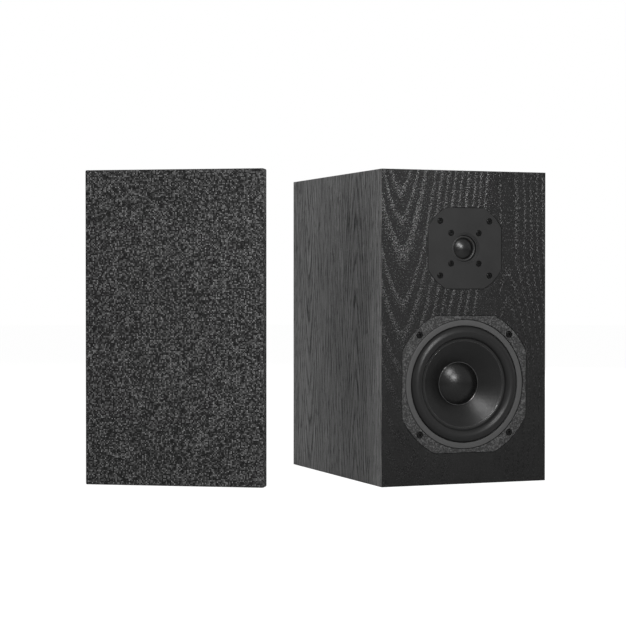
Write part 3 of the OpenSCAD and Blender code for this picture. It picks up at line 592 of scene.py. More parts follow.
def veneer(name, look, u, w, leaves, split, smooth_wood, pale, dark, size, streaks, sheen):
    """Black ash veneer.

    u and w are the axes across and along the grain, and split is where the second leaf of veneer
    begins. pale says how much the pale pores lighten the wood and how many there are between the
    rings; these pale pores are painted highlights, standing in for light that glints on the pore
    edges. dark says how much the dark pores darken the wood and how many there are, and how dark
    the rings are as well. size is how wide and long a pore is, and streaks how strong the long
    streaks are. The painted glints of the pale pores fade out towards the foot, a painted fall-off
    of the light from above.
    """
    s = Finish(name, Specular_IOR_Level=sheen)
    parts = s.split(s.place)
    across, along = parts[u], parts[w]
    third = parts[3 - u - w]
    wander = s.vector(across * 14, along * 5, third * 5 + 3.1)
    sway = (s.noise(wander, 1.0, 3.0) - 0.5) * 0.012
    fine_sway = (s.noise(s.vector(across * 70, along * 24, third * 9), 1.0, 2.0) - 0.5) * 0.004
    place = across + sway + fine_sway
    open_grain = growth(s, place, along, leaves[0])
    joint = s.rise(place, split - 0.004, split + 0.004)
    if leaves[1:]:
        open_grain = open_grain * (1 - joint) + growth(s, place, along, leaves[1]) * joint
    wide, long = size[0] * look.pore, size[1] * look.pore

    def pores(scale, shift, stretch=1.0):
        reach = long * scale * stretch
        at = s.vector(across / (wide * scale), along / reach, third * 40 + shift)
        return s.noise(at, 1.0, 1.0, 0.5)

    patchy = s.rise(s.noise(s.vector(across * 55, along * 30, third * 20), 1.0, 2.0), 0.35, 0.65)
    pale_strength, pale_cover = pale
    dark_strength, dark_cover, ring_shade = dark
    pale_amount = open_grain * (1 - pale_cover) + patchy * pale_cover
    dark_amount = open_grain * (1 - dark_cover) + patchy * dark_cover
    short = pores(1.0, 0.0) * (1 - joint) + pores(0.75, 3.0, 3.0) * joint
    # Pale pores: painted highlights, standing in for light that glints on the pore edges.
    glinting_pore = s.rise(short + pale_amount * 0.13, 0.64, 0.73)
    dark_pore = s.rise(pores(1.2, 7.7) + dark_amount * 0.2, 0.64, 0.76)
    hair = s.noise(s.vector(across / 0.0011, along / 0.0016, third * 30), 1.0, 2.0, 0.7)
    streak = s.noise(s.vector(across / wide, along / (long * 6), third * 30), 1.0, 2.0, 0.8)
    cloud = s.noise(s.vector(across * 18, along * 6, third * 6), 1.0, 3.0)
    tone = 0.9 + (cloud - 0.5) * 0.3 + (hair - 0.5) * 0.8 + (streak - 0.5) * streaks
    tone = s.math("MAXIMUM", tone - open_grain * ring_shade, 0.1)
    tone = tone * (1 - dark_pore * dark_strength)
    # Painted fall-off of light: the painted glints grow weaker towards the foot, as under light
    # from above.
    painted_glint_strength = s.rise(parts[2], 0.05, 0.36, 0.12, 1.1) * s.rise(hair, 0.3, 0.7, 0.1, 1.9)
    tone = tone + glinting_pore * painted_glint_strength * (1 - joint * 0.45) * pale_strength
    depth = 0 - dark_pore - glinting_pore * 0.4 - open_grain * 0.25 + hair * 0.3
    return s.done(
        s.scaled(smooth_wood, tone), 0.46 + open_grain * 0.1 + dark_pore * 0.25 + hair * 0.06,
        depth, 0.00018, 0.55,
    )


def fibreboard(name, colour, speck=0.5, roughness=0.75):
    """Pressed fibreboard: short fibres of several browns, or a thin coat of paint over them."""
    s = Finish(name, Specular_IOR_Level=0.2)
    fibres = s.noise(s.place, 900.0, 3.0, 0.7)
    clumps = s.noise(s.place, 120.0, 3.0, 0.6)
    flecks = s.rise(s.noise(s.place, 1500.0, 1.0), 0.62, 0.72)
    tone = 0.7 + (fibres - 0.5) * speck + (clumps - 0.5) * speck + flecks * speck * 0.5 + 0.3
    return s.done(s.scaled(colour, tone), roughness + fibres * 0.15, fibres + clumps, 0.00012, 0.5)


def moulded(
    name, colour, roughness, grain, depth=0.00004, mottle=0.15, speck=0.0, sheen=0.4, coat=0.0,
):
    """Moulded plastic, ceramic or painted metal: a fine grain, faint mottling and specks."""
    s = Finish(name, Specular_IOR_Level=sheen, Coat_Weight=coat)
    fine = s.noise(s.place, grain, 2.0, 0.6)
    broad = s.noise(s.place, 45.0, 3.0, 0.55)
    tone = 1 + (broad - 0.5) * mottle * 2 + (fine - 0.5) * mottle
    if speck:
        tone = tone * (1 + s.rise(s.noise(s.place, grain * 0.8, 1.0), 0.6, 0.7) * speck)
    return s.done(
        s.scaled(colour, tone), roughness + (broad - 0.5) * 0.12 + (fine - 0.5) * 0.1,
        fine, depth, 0.6,
    )


def plated(name, colour, roughness, axis=1, centre=(0, 0, 0)):
    """Plated or turned metal: fine turning marks round an axis and a slightly uneven polish."""
    s = Finish(name, Metallic=1.0)
    x, y, z = s.split(s.centred(centre))
    parts = [x, y, z]
    along = parts.pop(axis)
    radius = (parts[0] * parts[0] + parts[1] * parts[1]) ** 0.5
    marks = s.noise(s.vector(radius * 5200, along * 5200, 1.7), 1.0, 2.0)
    stain = s.noise(s.place, 70.0, 4.0, 0.6)
    return s.done(
        s.scaled(colour, 0.86 + stain * 0.28),
        roughness + (marks - 0.5) * 0.12 + (stain - 0.5) * 0.16,
        marks, 0.00001, 0.4,
    )


def crinkle(name, colour):
    """Crinkle paint on pressed steel: small rounded folds, with painted highlight on their crests
    and painted shade in their hollows.
    """
    s = Finish(name, Specular_IOR_Level=0.2)
    folds = s.cells(s.place, 620.0, "SMOOTH_F1")
    fine = s.noise(s.place, 700.0, 2.0, 0.7)
    height = folds * 0.6 + fine * 0.6
    # Painted light and shade: the colour follows the height of the folds, lighter on the crests and
    # darker in the hollows.
    return s.done(
        s.scaled(colour, 0.3 + s.rise(height, 0.4, 0.75) ** 2 * 1.6), 0.34 + fine * 0.2,
        height, 0.00035, 0.9,
    )


def rubber(name, colour, centre, roughness, sheen=0.2):
    """Smooth moulded rubber with faint rings from its mould and a trace of dust."""
    s = Finish(name, Specular_IOR_Level=sheen)
    x, y, z = s.split(s.centred(centre))
    radius = (x * x + z * z) ** 0.5
    rings = s.noise(s.vector(radius * 900, 0.0, 0.0), 1.0, 2.0)
    dust = s.noise(s.place, 260.0, 4.0, 0.65)
    fine = s.noise(s.place, 2200.0, 1.0)
    return s.done(
        s.scaled(colour, 0.82 + dust * 0.3 + rings * 0.08),
        roughness + (dust - 0.5) * 0.18 + (fine - 0.5) * 0.05,
        rings * 0.4 + fine * 0.3, 0.00003, 0.5,
    )


def woven(name, colour, centre, strand, roughness, depth, sheen):
    """Plain weave of flat glossy strands under resin, as on a woven cone, with painted shade in the
    gaps between the strands.
    """
    s = Finish(name, Specular_IOR_Level=sheen)
    x, y, z = s.split(s.centred(centre))
    slip = (s.noise(s.place, 90.0, 2.0) - 0.5) * 0.4
    u = x / strand + slip + 200
    v = z / strand - slip + 200
    fu, fv = s.math("FRACT", u), s.math("FRACT", v)
    over = s.math("MODULO", s.math("FLOOR", u) + s.math("FLOOR", v), 2.0)
    across_u = 1 - (fu * 2 - 1) ** 2
    across_v = 1 - (fv * 2 - 1) ** 2
    warp = across_u * (0.5 + across_v * 0.5)
    weft = across_v * (0.5 + across_u * 0.5)
    height = warp * over + weft * (1 - over)
    fibre_u = s.noise(s.vector(u * 9, v * 0.7, 0.5), 1.0, 1.0)
    fibre_v = s.noise(s.vector(u * 0.7, v * 9, 4.5), 1.0, 1.0)
    fibre = fibre_u * over + fibre_v * (1 - over)
    resin = s.rise(height, 0.15, 0.6)
    # Painted shade: the colour follows the strands' height, darker in the gaps between them and
    # lighter on their crowns.
    return s.done(
        s.scaled(colour, 0.35 + height * 0.9 + fibre * 0.4),
        roughness + (fibre - 0.5) * 0.14 + (1 - resin) * 0.06,
        height + fibre * 0.15, depth, 1.0,
    )


def gloss_dome(name, colour, centre, radius, spokes, roughness):
    """Doped fabric dome: glossy, with faint radial stretch marks and a slightly uneven coat."""
    s = Finish(name, Specular_IOR_Level=0.25)
    x, y, z = s.split(s.centred(centre))
    angle = s.math("ARCTAN2", z, x)
    out = (x * x + z * z) ** 0.5 / radius
    marks = s.noise(s.vector(s.math("COSINE", angle) * 9, s.math("SINE", angle) * 9, out), 1.0, 3.0)
    coat = s.noise(s.place, 420.0, 3.0, 0.6)
    return s.done(
        s.scaled(colour, 0.7 + marks * spokes * 2 + coat * 0.2),
        roughness + (marks - 0.5) * 0.1 + (coat - 0.5) * 0.1,
        coat + marks * out * spokes, 0.00006, 0.7,
    )


def linen(name, look, centre, turn):
    """Plain-woven grille cloth: uneven spun threads, light flecks and slubs, and painted shade in
    the gaps between the threads.
    """
    s = Finish(name, Specular_IOR_Level=0.1, Roughness=0.9)
    x, y, z = s.split(s.centred(centre, turn))
    wave = (s.noise(s.place, 25.0, 2.0) - 0.5) * 0.5
    u = (x + y) / look.thread + wave + 400
    v = (z + y) / look.thread - wave + 400
    fu, fv = s.math("FRACT", u), s.math("FRACT", v)
    iu, iv = s.math("FLOOR", u), s.math("FLOOR", v)
    over = s.math("MODULO", iu + iv, 2.0)
    across_u = 1 - (fu * 2 - 1) ** 2
    across_v = 1 - (fv * 2 - 1) ** 2
    height = across_u * (0.35 + across_v * 0.65) * over
    height = height + across_v * (0.35 + across_u * 0.65) * (1 - over)
    chance = {"noise_dimensions": "2D"}
    crossing = s.add("TexWhiteNoise", chance, {"Vector": s.vector(iu, iv, 0.0)})
    run_u = s.math("FLOOR", u * 0.3 + iv * 0.37)
    run_v = s.math("FLOOR", v * 0.3 + iu * 0.61)
    warp_tone = s.add("TexWhiteNoise", chance, {"Vector": s.vector(iu, run_v + 900, 0.0)})
    weft_tone = s.add("TexWhiteNoise", chance, {"Vector": s.vector(run_u + 900, iv, 0.0)})
    thread = warp_tone * over + weft_tone * (1 - over)
    spun = s.noise(s.vector(u * 2.2, v * 2.2, 3.0), 1.0, 2.0, 0.8)
    patch = s.noise(s.vector(u * 0.02, v * 0.02, 9.0), 1.0, 2.0)
    fleck = crossing * 0.7 + thread * 0.26 + (spun - 0.5) * 0.3 + over * 0.06
    fleck = s.math("MAXIMUM", fleck + (patch - 0.5) * 0.08, 0.0)
    # Painted shade: the threads darken towards their edges and the gaps between them.
    shade = s.rise(height, 0.1, 0.7, 0.4, 1.0)
    light = s.math("MINIMUM", shade * fleck**3, 1.0)
    return s.done(
        s.mix(light, look.dark, look.light), 0.86 + fleck * 0.1,
        height + spun * 0.3, 0.00035, 0.8,
    )


def felted(name, colour):
    """Felt: matted fibres of mixed greys with a few stray light and dark ones."""
    s = Finish(name, Specular_IOR_Level=0.1, Roughness=0.95)
    drift = s.noise(s.place, 60.0, 2.0)
    x, y, z = s.split(s.place)
    strands = s.noise(s.vector(x * 300 + drift * 6, y * 1100, z * 1100 - drift * 6), 1.0, 3.0, 0.7)
    cross = s.noise(s.vector(x * 1100, y * 300 + drift * 6, z * 500), 1.0, 3.0, 0.7)
    clump = s.noise(s.place, 45.0, 3.0)
    stray = s.rise(strands, 0.62, 0.7) - s.rise(cross, 0.63, 0.7)
    return s.done(
        s.scaled(colour, 0.75 + clump * 0.4 + stray * 0.45), 0.9 + clump * 0.1,
        strands + cross + clump, 0.0009, 0.8,
    )


def foamed(name, colour):
    """Closed-cell foam: small pits between pale cell walls, with painted shade in the pits."""
    s = Finish(name, Specular_IOR_Level=0.2)
    pits = s.cells(s.place, 1600.0)
    broad = s.noise(s.place, 150.0, 2.0)
    # Painted shade: the colour is darker in the pits, the hollows of the cells.
    return s.done(
        s.scaled(colour, 0.6 + s.rise(pits, 0.2, 0.6) * 0.5 + broad * 0.3), 0.85 + broad * 0.1,
        pits, 0.00025, 0.7,
    )


def wound(name, colour, pitch, axis, centre=(0, 0, 0), twist=0.0):
    """Wire wound side by side, or a thread cut into a rod: ridges across an axis, with painted
    shade in the grooves between them.
    """
    s = Finish(name, Metallic=0.85)
    parts = s.split(s.centred(centre))
    along = parts.pop(axis)
    angle = s.math("ARCTAN2", parts[1], parts[0]) / math.tau
    turn = s.math("FRACT", along / pitch + angle * twist + 400)
    ridge = (1 - (turn * 2 - 1) ** 2) ** 0.5
    stain = s.noise(s.place, 160.0, 3.0)
    # Painted shade: the colour darkens in the grooves between the turns.
    return s.done(
        s.scaled(colour, 0.45 + ridge * 0.5 + stain * 0.25),
        0.3 + (1 - ridge) * 0.25 + (stain - 0.5) * 0.12,
        ridge, pitch * 0.45, 0.9,
    )


def open_cloth(name, colour, centre, pitch):
    """Thin resin-stiffened cloth seen close: a square mesh of round threads, with painted shade
    between them.
    """
    s = Finish(name, Specular_IOR_Level=0.25, Roughness=0.7)
    x, y, z = s.split(s.centred(centre))
    fu = s.math("FRACT", x / pitch + 300)
    fv = s.math("FRACT", z / pitch + 300)
    net = s.math("MAXIMUM", 1 - (fu * 2 - 1) ** 2, 1 - (fv * 2 - 1) ** 2)
    stain = s.noise(s.place, 80.0, 3.0)
    # Painted shade: the colour is darker between the threads.
    return s.done(
        s.scaled(colour, 0.4 + net * 0.5 + stain * 0.3), 0.6 + stain * 0.2,
        net, 0.0002, 0.8,
    )


def circuit(name, mask, copper):
    """Circuit board: green resist over wide copper tracks, and glass fibre on the cut edges."""
    s = Finish(name, Specular_IOR_Level=0.5)
    x, y, z = s.split(s.place)
    cells = s.cells(s.vector(x, y, 0.0), 42.0, "DISTANCE_TO_EDGE")
    track = s.rise(cells, 0.035, 0.06)
    weave = s.noise(s.vector(x * 1800, y * 1800, z * 200), 1.0, 1.0)
    stain = s.noise(s.place, 60.0, 3.0)
    tone = s.mix(track, mask, copper)
    return s.done(
        s.scaled(tone, 0.85 + stain * 0.2 + weave * 0.1), 0.3 + weave * 0.12 + track * 0.06,
        track + weave * 0.2, 0.00006, 0.7,
    )


def sleeved(name, colour, band, axis, pitch):
    """Wrapped film capacitor: a taut sleeve with a printed band and slightly puckered ends."""
    s = Finish(name, Specular_IOR_Level=0.5)
    parts = s.split(s.place)
    along = parts[axis]
    stripe = s.math("FRACT", along / pitch + 100)
    printed = s.rise(stripe, 0.42, 0.44) * (1 - s.rise(stripe, 0.52, 0.54))
    crease = s.noise(s.place, 240.0, 3.0)
    return s.done(
        s.scaled(s.mix(printed, colour, band), 0.85 + crease * 0.3), 0.32 + crease * 0.16,
        crease, 0.0001, 0.5,
    )


# ---- Finishes that several pieces share ----

ZINC = (0.60, 0.62, 0.66)


def shared(name, make, *args, **fixed):
    """A material that is made the first time it is asked for."""
    return bpy.data.materials.get(name) or make(name, *args, **fixed)


def bare_board():
    return shared("fibreboard", fibreboard, bpy.context.scene.speaker.cabinet.board)


def black_paint():
    return shared("black paint", fibreboard, grey(0.012), 0.6, 0.6)


def black_steel():
    return shared(
        "blackened steel", moulded, grey(0.003), 0.2, 2600.0, depth=0.00002, mottle=0.3, sheen=0.12,
    )


def plated_steel():
    return shared("zinc plate", plated, ZINC, 0.34)


def tinned():
    return shared("tinned copper", plated, (0.66, 0.66, 0.65), 0.3)


def ferrite():
    return shared(
        "ferrite", moulded, (0.040, 0.040, 0.045), 0.6, 900.0, depth=0.0001, mottle=0.3, speck=0.8,
    )


def black_foam():
    return shared("sealing foam", foamed, grey(0.035))


def copper_winding(name, pitch, axis, centre):
    return wound(name, (0.72, 0.28, 0.12), pitch, axis, centre)


# ---- Pieces ----


def round_off(piece, low, high, width):
    """Rounds the edges of the box between two corners, wherever they run through the piece."""
    with editing(piece):
        for a, b in ((0, 1), (0, 2), (1, 2)):
            for side_a in (-1, 1):
                for side_b in (-1, 1):
                    middle_line = Vector((0, 0, 0))
                    middle_line[a] = high[a] - width if side_a > 0 else low[a] + width
                    middle_line[b] = high[b] - width if side_b > 0 else low[b] + width
                    for angle in (16, 45, 74):
                        out = Vector((0, 0, 0))
                        out[a] = side_a * math.cos(math.radians(angle))
                        out[b] = side_b * math.sin(math.radians(angle))
                        bpy.ops.mesh.select_all(action="SELECT")
                        bpy.ops.mesh.bisect(
                            plane_co=middle_line + out * width, plane_no=out, use_fill=True,
                            clear_outer=True, threshold=1e-6,
                        )


class SPEAKER_OT_cabinet(bpy.types.Operator):
    """Veneered panels, front baffle, brace and magnets"""

    bl_idname = "speaker.cabinet"
    bl_label = "Cabinet"

    def execute(self, context):
        look = context.scene.speaker.cabinet
        low, high = CABINET_LOW, CABINET_HIGH
        wide_leaf = [28, 34.8, 41.6, 54.8, 62, 70.8, 79, 87, 95, 104, 112, 121, 130]
        front = veneer(
            "ash veneer front", look, 0, 2, [
                Leaf(centre=-0.084, rings=wide_leaf, start=0.1, slope=-0.2, top=1.0, squeeze=1.0),
                Leaf(centre=0.058, rings=6.8, start=-0.0228, slope=0.2, top=0.0312, squeeze=1.0),
            ],
            0.045, look.front, pale=(10.0, 0.1), dark=(0.4, 0.5, 0.1), size=(1.0, 1.5),
            streaks=0.6, sheen=0.06,
        )
        # The sides take the lighter side colour: painted light on the same black ash.
        side = veneer(
            "ash veneer side", look, 1, 2, [
                Leaf(centre=-0.070, rings=10.3, start=0.055, slope=0.22, top=1.0, squeeze=2.3),
                Leaf(centre=0.090, rings=10.3, start=0.1386, slope=-0.22, top=1.0, squeeze=2.3),
            ],
            0.02, look.side, pale=(0.2, 0.4), dark=(0.3, 0.3, 0.3), size=(2.4, 11.0),
            streaks=2.3, sheen=0.08,
        )
        # The top takes the lighter side colour too: painted light on the same black ash.
        top = veneer(
            "ash veneer top", look, 1, 0, [
                Leaf(centre=0.02, rings=9.5, start=0.06, slope=0.2, top=1.0, squeeze=1.8),
            ],
            1.0, look.side, pale=(0.5, 0.4), dark=(0.45, 0.4, 0.2), size=(1.2, 6.0),
            streaks=1.2, sheen=0.08,
        )
        back = veneer(
            "ash veneer back", look, 0, 2, [
                Leaf(centre=0.03, rings=8.5, start=0.09, slope=-0.16, top=1.0, squeeze=1.2),
            ],
            1.0, look.front, pale=(7.0, 0.1), dark=(0.4, 0.5, 0.1), size=(1.0, 2.2),
            streaks=0.6, sheen=0.06,
        )
        wood = (bare_board(), side, front, top, back, black_paint())
        skin = 1.3 * look.edge
        painted_front, painted_back = low.y + 8 * MM, high.y - 4 * MM

        def wears(face):
            """The slot of a face: veneer outside, paint round the openings, bare board inside."""
            at, normal = face.center, face.normal
            depths = (
                (min(at.x - low.x, high.x - at.x), abs(normal.x), 1),
                (at.y - low.y, -normal.y, 2),
                (min(at.z - low.z, high.z - at.z), abs(normal.z), 3),
                (high.y - at.y, normal.y, 4),
            )
            outside = [(facing, wood) for depth, facing, wood in depths if depth < skin]
            if outside and max(outside)[0] > 0.6:
                return max(outside)[1]
            return 0 if painted_front <= at.y <= painted_back else 5

        panels = ("left_side_panel", "right_side_panel", "top_panel", "bottom_panel", "back_panel",
                  "front_baffle")
        for node in panels:
            piece = copied(node, node.replace("_", " "))
            if node != "back_panel":
                round_off(piece, low, high, look.edge)
            smooth(piece, 40, flat_faces=True)
            seat(piece, node, *wood, wears=wears)
        eased("window_brace", 0.6, bare_board())
        eased("baffle_magnets", 0.3, plated_steel())
        return {"FINISHED"}


class SPEAKER_OT_damping(bpy.types.Operator):
    """Felt pads on the inside walls"""

    bl_idname = "speaker.damping"
    bl_label = "Damping"

    def execute(self, context):
        felt = felted("grey felt", context.scene.speaker.terminals.felt)
        lumps = bpy.data.textures.new("felt lumps", "CLOUDS")
        lumps.noise_scale = 0.028
        lumps.noise_depth = 3
        for node, name in (("side_damping", "side felt"), ("back_damping", "back felt")):
            piece = copied(node, name)
            modify(piece, "REMESH", mode="VOXEL", voxel_size=3.4 * MM, use_smooth_shade=True)
            modify(piece, "SMOOTH", factor=0.5, iterations=5)
            modify(piece, "DISPLACE", texture=lumps, strength=2.4 * MM, mid_level=1.0)
            modify(piece, "SMOOTH", factor=0.3, iterations=1)
            seat(piece, node, felt)
        return {"FINISHED"}


class SPEAKER_OT_woofer_frame(bpy.types.Operator):
    """Woofer's pressed frame, trim ring and seal"""

    bl_idname = "speaker.woofer_frame"
    bl_label = "Woofer frame"

    def execute(self, context):
        look = context.scene.speaker.drivers
        eased("woofer_basket", 0.55, crinkle("crinkle paint", look.flange), name="woofer frame",
              segments=3, test=lambda point: point.y < FRONT_Y + 0.05 * MM)
        section = [(71.15, 2.4), (71.15, 1.3)] + arc(72.0, 1.35, 0.85, 180, 270, 5)[1:]
        section += [(74.6, 0.4)] + arc(77.2, 1.45, 1.05, 270, 360, 6) + [(78.25, 2.4)]
        ring = turned("trim ring", section, WOOFER, steps=160)
        soft = rubber("trim ring rubber", look.trim, WOOFER, 0.48, sheen=0.12)
        seat(ring, "woofer_trim_ring", soft)
        eased("woofer_seal", 0.25, black_foam())
        return {"FINISHED"}


def bowl(name, centre, rim, sphere, crown, wall, lean):
    """A thin cap cut from a sphere, in millimetres.

    rim is its radius, crown the depth of its middle, and lean how many degrees the inside stops
    short of the rim.
    """
    top = crown + sphere
    edge = math.degrees(math.asin(rim / sphere))
    outside = arc(0, top, sphere, -90, -90 + edge, 24)
    inside = arc(0, top, sphere - wall, -90 + edge - lean, -90, 22)
    section = [(0, top - sphere)] + outside[1:] + inside[:-1] + [(0, top - sphere + wall)]
    return turned(name, section, centre, steps=96, closed=False, angle=60)


class SPEAKER_OT_woofer_cone(bpy.types.Operator):
    """Surround, woven cone, dust cap and their glue lines"""

    bl_idname = "speaker.woofer_cone"
    bl_label = "Woofer cone"

    def execute(self, context):
        look = context.scene.speaker.drivers
        front = [(77.25, 2.42), (71.6, 2.42)] + arc(63.05, 4.55, 8.15, -15.3, -164.7, 36)
        front += [(54.6, 2.42), (53.2, 2.42), (52.78, 2.6)]
        back = [(52.78, 3.18), (55.83, 3.18)] + arc(63.05, 4.55, 7.35, -169.2, -10.8, 32)
        back += [(70.6, 3.18), (77.25, 3.18)]
        surround = turned("surround", front + back, WOOFER, steps=144, angle=60)
        dress(surround, rubber("surround rubber", look.rubber, WOOFER, 0.34, sheen=0.16))
        bend_round(surround, "woofer_surround")

        weave = woven(
            "woven cone", look.cone, WOOFER, look.weave, 0.3, depth=0.00005, sheen=0.2,
        )
        face = through([(52.25, 3.3, 0), (39.1, 10.42, 0), (26, 19.02, 0), (16.6, 27.02, 0)], 8)
        rear = through([(16.6, 28.4, 0), (26, 20.06, 0), (39.1, 11.37, 0), (51.8, 4.08, 0)], 8)
        section = [(55.15, 3.24), (52.9, 3.24)] + [p.xy for p in face] + [p.xy for p in rear]
        cone = turned("cone", section + [(55.15, 4.06)], WOOFER, steps=144)
        seat(cone, "woofer_cone", weave)

        cap = bowl("dust cap", WOOFER, 26, 42.06, 18.9 - 9, 0.7, 1.1)
        weave = woven(
            "dust cap weave", look.cone, WOOFER, look.weave, 0.25, depth=0.00003, sheen=0.22,
        )
        seat(cap, "woofer_dust_cap", weave)

        lumps = bpy.data.textures.new("glue lumps", "CLOUDS")
        lumps.noise_scale = 0.006
        lines = (("cap glue line", 26.25, 18.35, 0.62), ("surround glue line", 52.6, 3.15, 0.42))
        for name, r, d, size in lines:
            bead = turned(name, arc(r, d, size, 0, 330, 11), WOOFER, steps=180, angle=180)
            modify(bead, "DISPLACE", texture=lumps, strength=0.5 * MM, mid_level=0.62)
            glue = moulded(name, grey(0.012), 0.16, 700.0, depth=0.0001, sheen=0.6)
            seat(bead, "woofer_cone", glue, stands_for=False)
        return {"FINISHED"}


class SPEAKER_OT_woofer_motor(bpy.types.Operator):
    """Voice coil, spider, magnet, plates and braided leads"""

    bl_idname = "speaker.woofer_motor"
    bl_label = "Woofer motor"

    def execute(self, context):
        former = turned(
            "voice coil former", [(16.2, 26), (16.5, 26), (16.5, 71.9), (16.2, 71.9)], WOOFER,
        )
        film = moulded("amber film", (0.45, 0.19, 0.035), 0.22, 300.0, sheen=0.5, coat=0.3)
        seat(former, "woofer_coil_former", film)
        turns = [(16.52, 70), (16.52, 56)]
        for i in range(28):
            turns += [(17.02, 56.06 + i * 0.5), (17.2, 56.25 + i * 0.5)]
        coil = turned("voice coil", turns + [(17.0, 70)], WOOFER, steps=72)
        seat(coil, "woofer_voice_coil", copper_winding("voice coil wire", 0.5 * MM, 1, WOOFER))

        waves = []
        for i in range(61):
            r = 18.6 + 24.4 * i / 60
            waves.append((r, 45.02 - 0.48 * math.cos(math.tau * 5 * i / 60)))
        front = [(16.6, 45.5)] + waves + [(49.45, 45.5)]
        back = [(49.45, 45.98)] + [(r, d + 0.46) for r, d in waves[::-1]] + [(16.6, 45.98)]
        spider = turned("spider", front + back, WOOFER, steps=120, angle=60)
        dress(spider, open_cloth("stiffened cloth", (0.62, 0.45, 0.22), WOOFER, 0.9 * MM))
        bend_round(spider, "woofer_spider")

        zinc = plated("woofer zinc", ZINC, 0.34, 1, WOOFER)
        eased("woofer_top_plate", 0.5, zinc)
        eased("woofer_back_plate", 0.5, zinc)
        eased("woofer_magnet", 0.7, ferrite(), segments=3)

        y, z = (WOOFER / MM).yz
        route = [(7, 21, 24), (9, 32, 31), (11, 45, 36), (12, 56, 41), (12, 62, 50), (9, 60, 58.5)]
        leads = []
        for side in (-1, 1):
            points = [(side * a, y + depth, z - down) for a, down, depth in route]
            leads.append(lead("braid", points, 0.68))
        braid = joined("tinsel leads", leads)
        dress(braid, wound("braided copper", (0.72, 0.34, 0.16), 0.9 * MM, 2, twist=2.0))
        bend(braid, "woofer_tinsel_leads")
        return {"FINISHED"}


class SPEAKER_OT_tweeter(bpy.types.Operator):
    """Tweeter's face plate, dome, surround and motor"""

    bl_idname = "speaker.tweeter"
    bl_label = "Tweeter"

    def execute(self, context):
        look = context.scene.speaker.drivers
        satin = moulded(
            "face plate", look.plate, 0.42, 1700.0, depth=0.00007, mottle=0.2, speck=0.3,
            sheen=0.12,
        )
        eased("tweeter_faceplate", 0.45, satin, name="tweeter face plate", segments=3,
              test=lambda point: point.y < FRONT_Y + 2 * MM)

        roll = arc(14.5, 5.1875, 1.6625, -19, -161, 14)
        roll_back = arc(14.5, 5.1875, 1.4125, -165, -15, 14)
        section = [(17.45, 4.72), (16.2, 4.72)] + roll + [(12.78, 4.73), (12.78, 4.96)]
        section += roll_back + [(16.2, 4.98), (17.45, 4.98)]
        surround = turned("tweeter surround", section, TWEETER, steps=120, angle=60)
        dress(surround, rubber("tweeter surround cloth", grey(0.012), TWEETER, 0.4))
        bend_round(
            surround, "tweeter_surround",
        )

        dome = bowl("dome", TWEETER, 12.7, 21.3, 4.85 - 4.2, 0.25, 0.6)
        silk = gloss_dome(
            "doped silk dome", grey(0.002), TWEETER, 12.7 * MM, spokes=0.25, roughness=0.29,
        )
        seat(dome, "tweeter_dome", silk)

        turns = [(12.22, 10.1), (12.22, 4.9)]
        for i in range(17):
            turns += [(12.6, 5.0 + i * 0.3), (12.7, 5.12 + i * 0.3)]
        coil = turned("tweeter coil", turns + [(12.6, 10.12)], TWEETER, steps=72)
        seat(coil, "tweeter_voice_coil", copper_winding("tweeter coil wire", 0.3 * MM, 1, TWEETER))

        zinc = plated("tweeter zinc", ZINC, 0.34, 1, TWEETER)
        cream = moulded("cream plastic", (0.62, 0.58, 0.46), 0.42, 900.0)
        black = moulded("chamber plastic", grey(0.014), 0.42, 1100.0)
        rest = (
            ("tweeter_diaphragm_ring", cream, 0.2), ("tweeter_top_plate", zinc, 0.4),
            ("tweeter_magnet", ferrite(), 0.6), ("tweeter_back_plate", zinc, 0.4),
            ("tweeter_rear_chamber", black, 0.8), ("tweeter_seal", black_foam(), 0.25),
        )
        for node, material, width in rest:
            eased(node, width, material, segments=3)
        return {"FINISHED"}


def socket_screw(name, head, rise, shank, length, tip):
    """A socket screw at the origin: it points along +Z, with the seat of its head at zero.

    head and shank are radii, and rise is the head's height, all in millimetres.
    """
    crown = [(0, -rise)] + [(head * 0.66, -rise)] + arc(head - 0.55, -rise + 0.55, 0.55, -90, 0, 4)
    section = crown + [(head, -0.1), (head - 0.15, 0), (shank, 0), (shank, 0.6)]
    depth = 0.9
    while depth < length - tip - 0.6:
        section += [(shank * 0.78, depth), (shank, depth + 0.35)]
        depth += 0.8
    section += [(shank * 0.8, length - tip), (0.12, length), (0, length)]
    piece = turned(name, section, (0, 0, 0), UP, steps=28, closed=False, angle=30)
    only()
    bpy.ops.mesh.primitive_cylinder_add(
        vertices=6, radius=head * 0.5 * MM, depth=rise * 1.5 * MM, location=(0, 0, -rise * MM),
    )
    key = started("socket key")
    modify(piece, "BOOLEAN", object=key, operation="DIFFERENCE", solver="EXACT")
    bpy.data.objects.remove(key)
    smooth(piece, 30)
    return piece


def driven(model, places, lean, first, step):
    """Copies of a screw at their places, leant over about X and each turned a little further."""
    rows = []
    for i, place in enumerate(places):
        only(model)
        bpy.ops.object.duplicate()
        screw = bpy.context.object
        with editing(screw):
            for axis, angle in (("Z", first + i * step), ("X", lean)):
                bpy.ops.transform.rotate(
                    value=angle, orient_axis=axis, orient_type="GLOBAL", center_override=(0, 0, 0),
                )
            bpy.ops.transform.translate(value=place)
        rows.append(screw)
    bpy.data.objects.remove(model)
    return rows


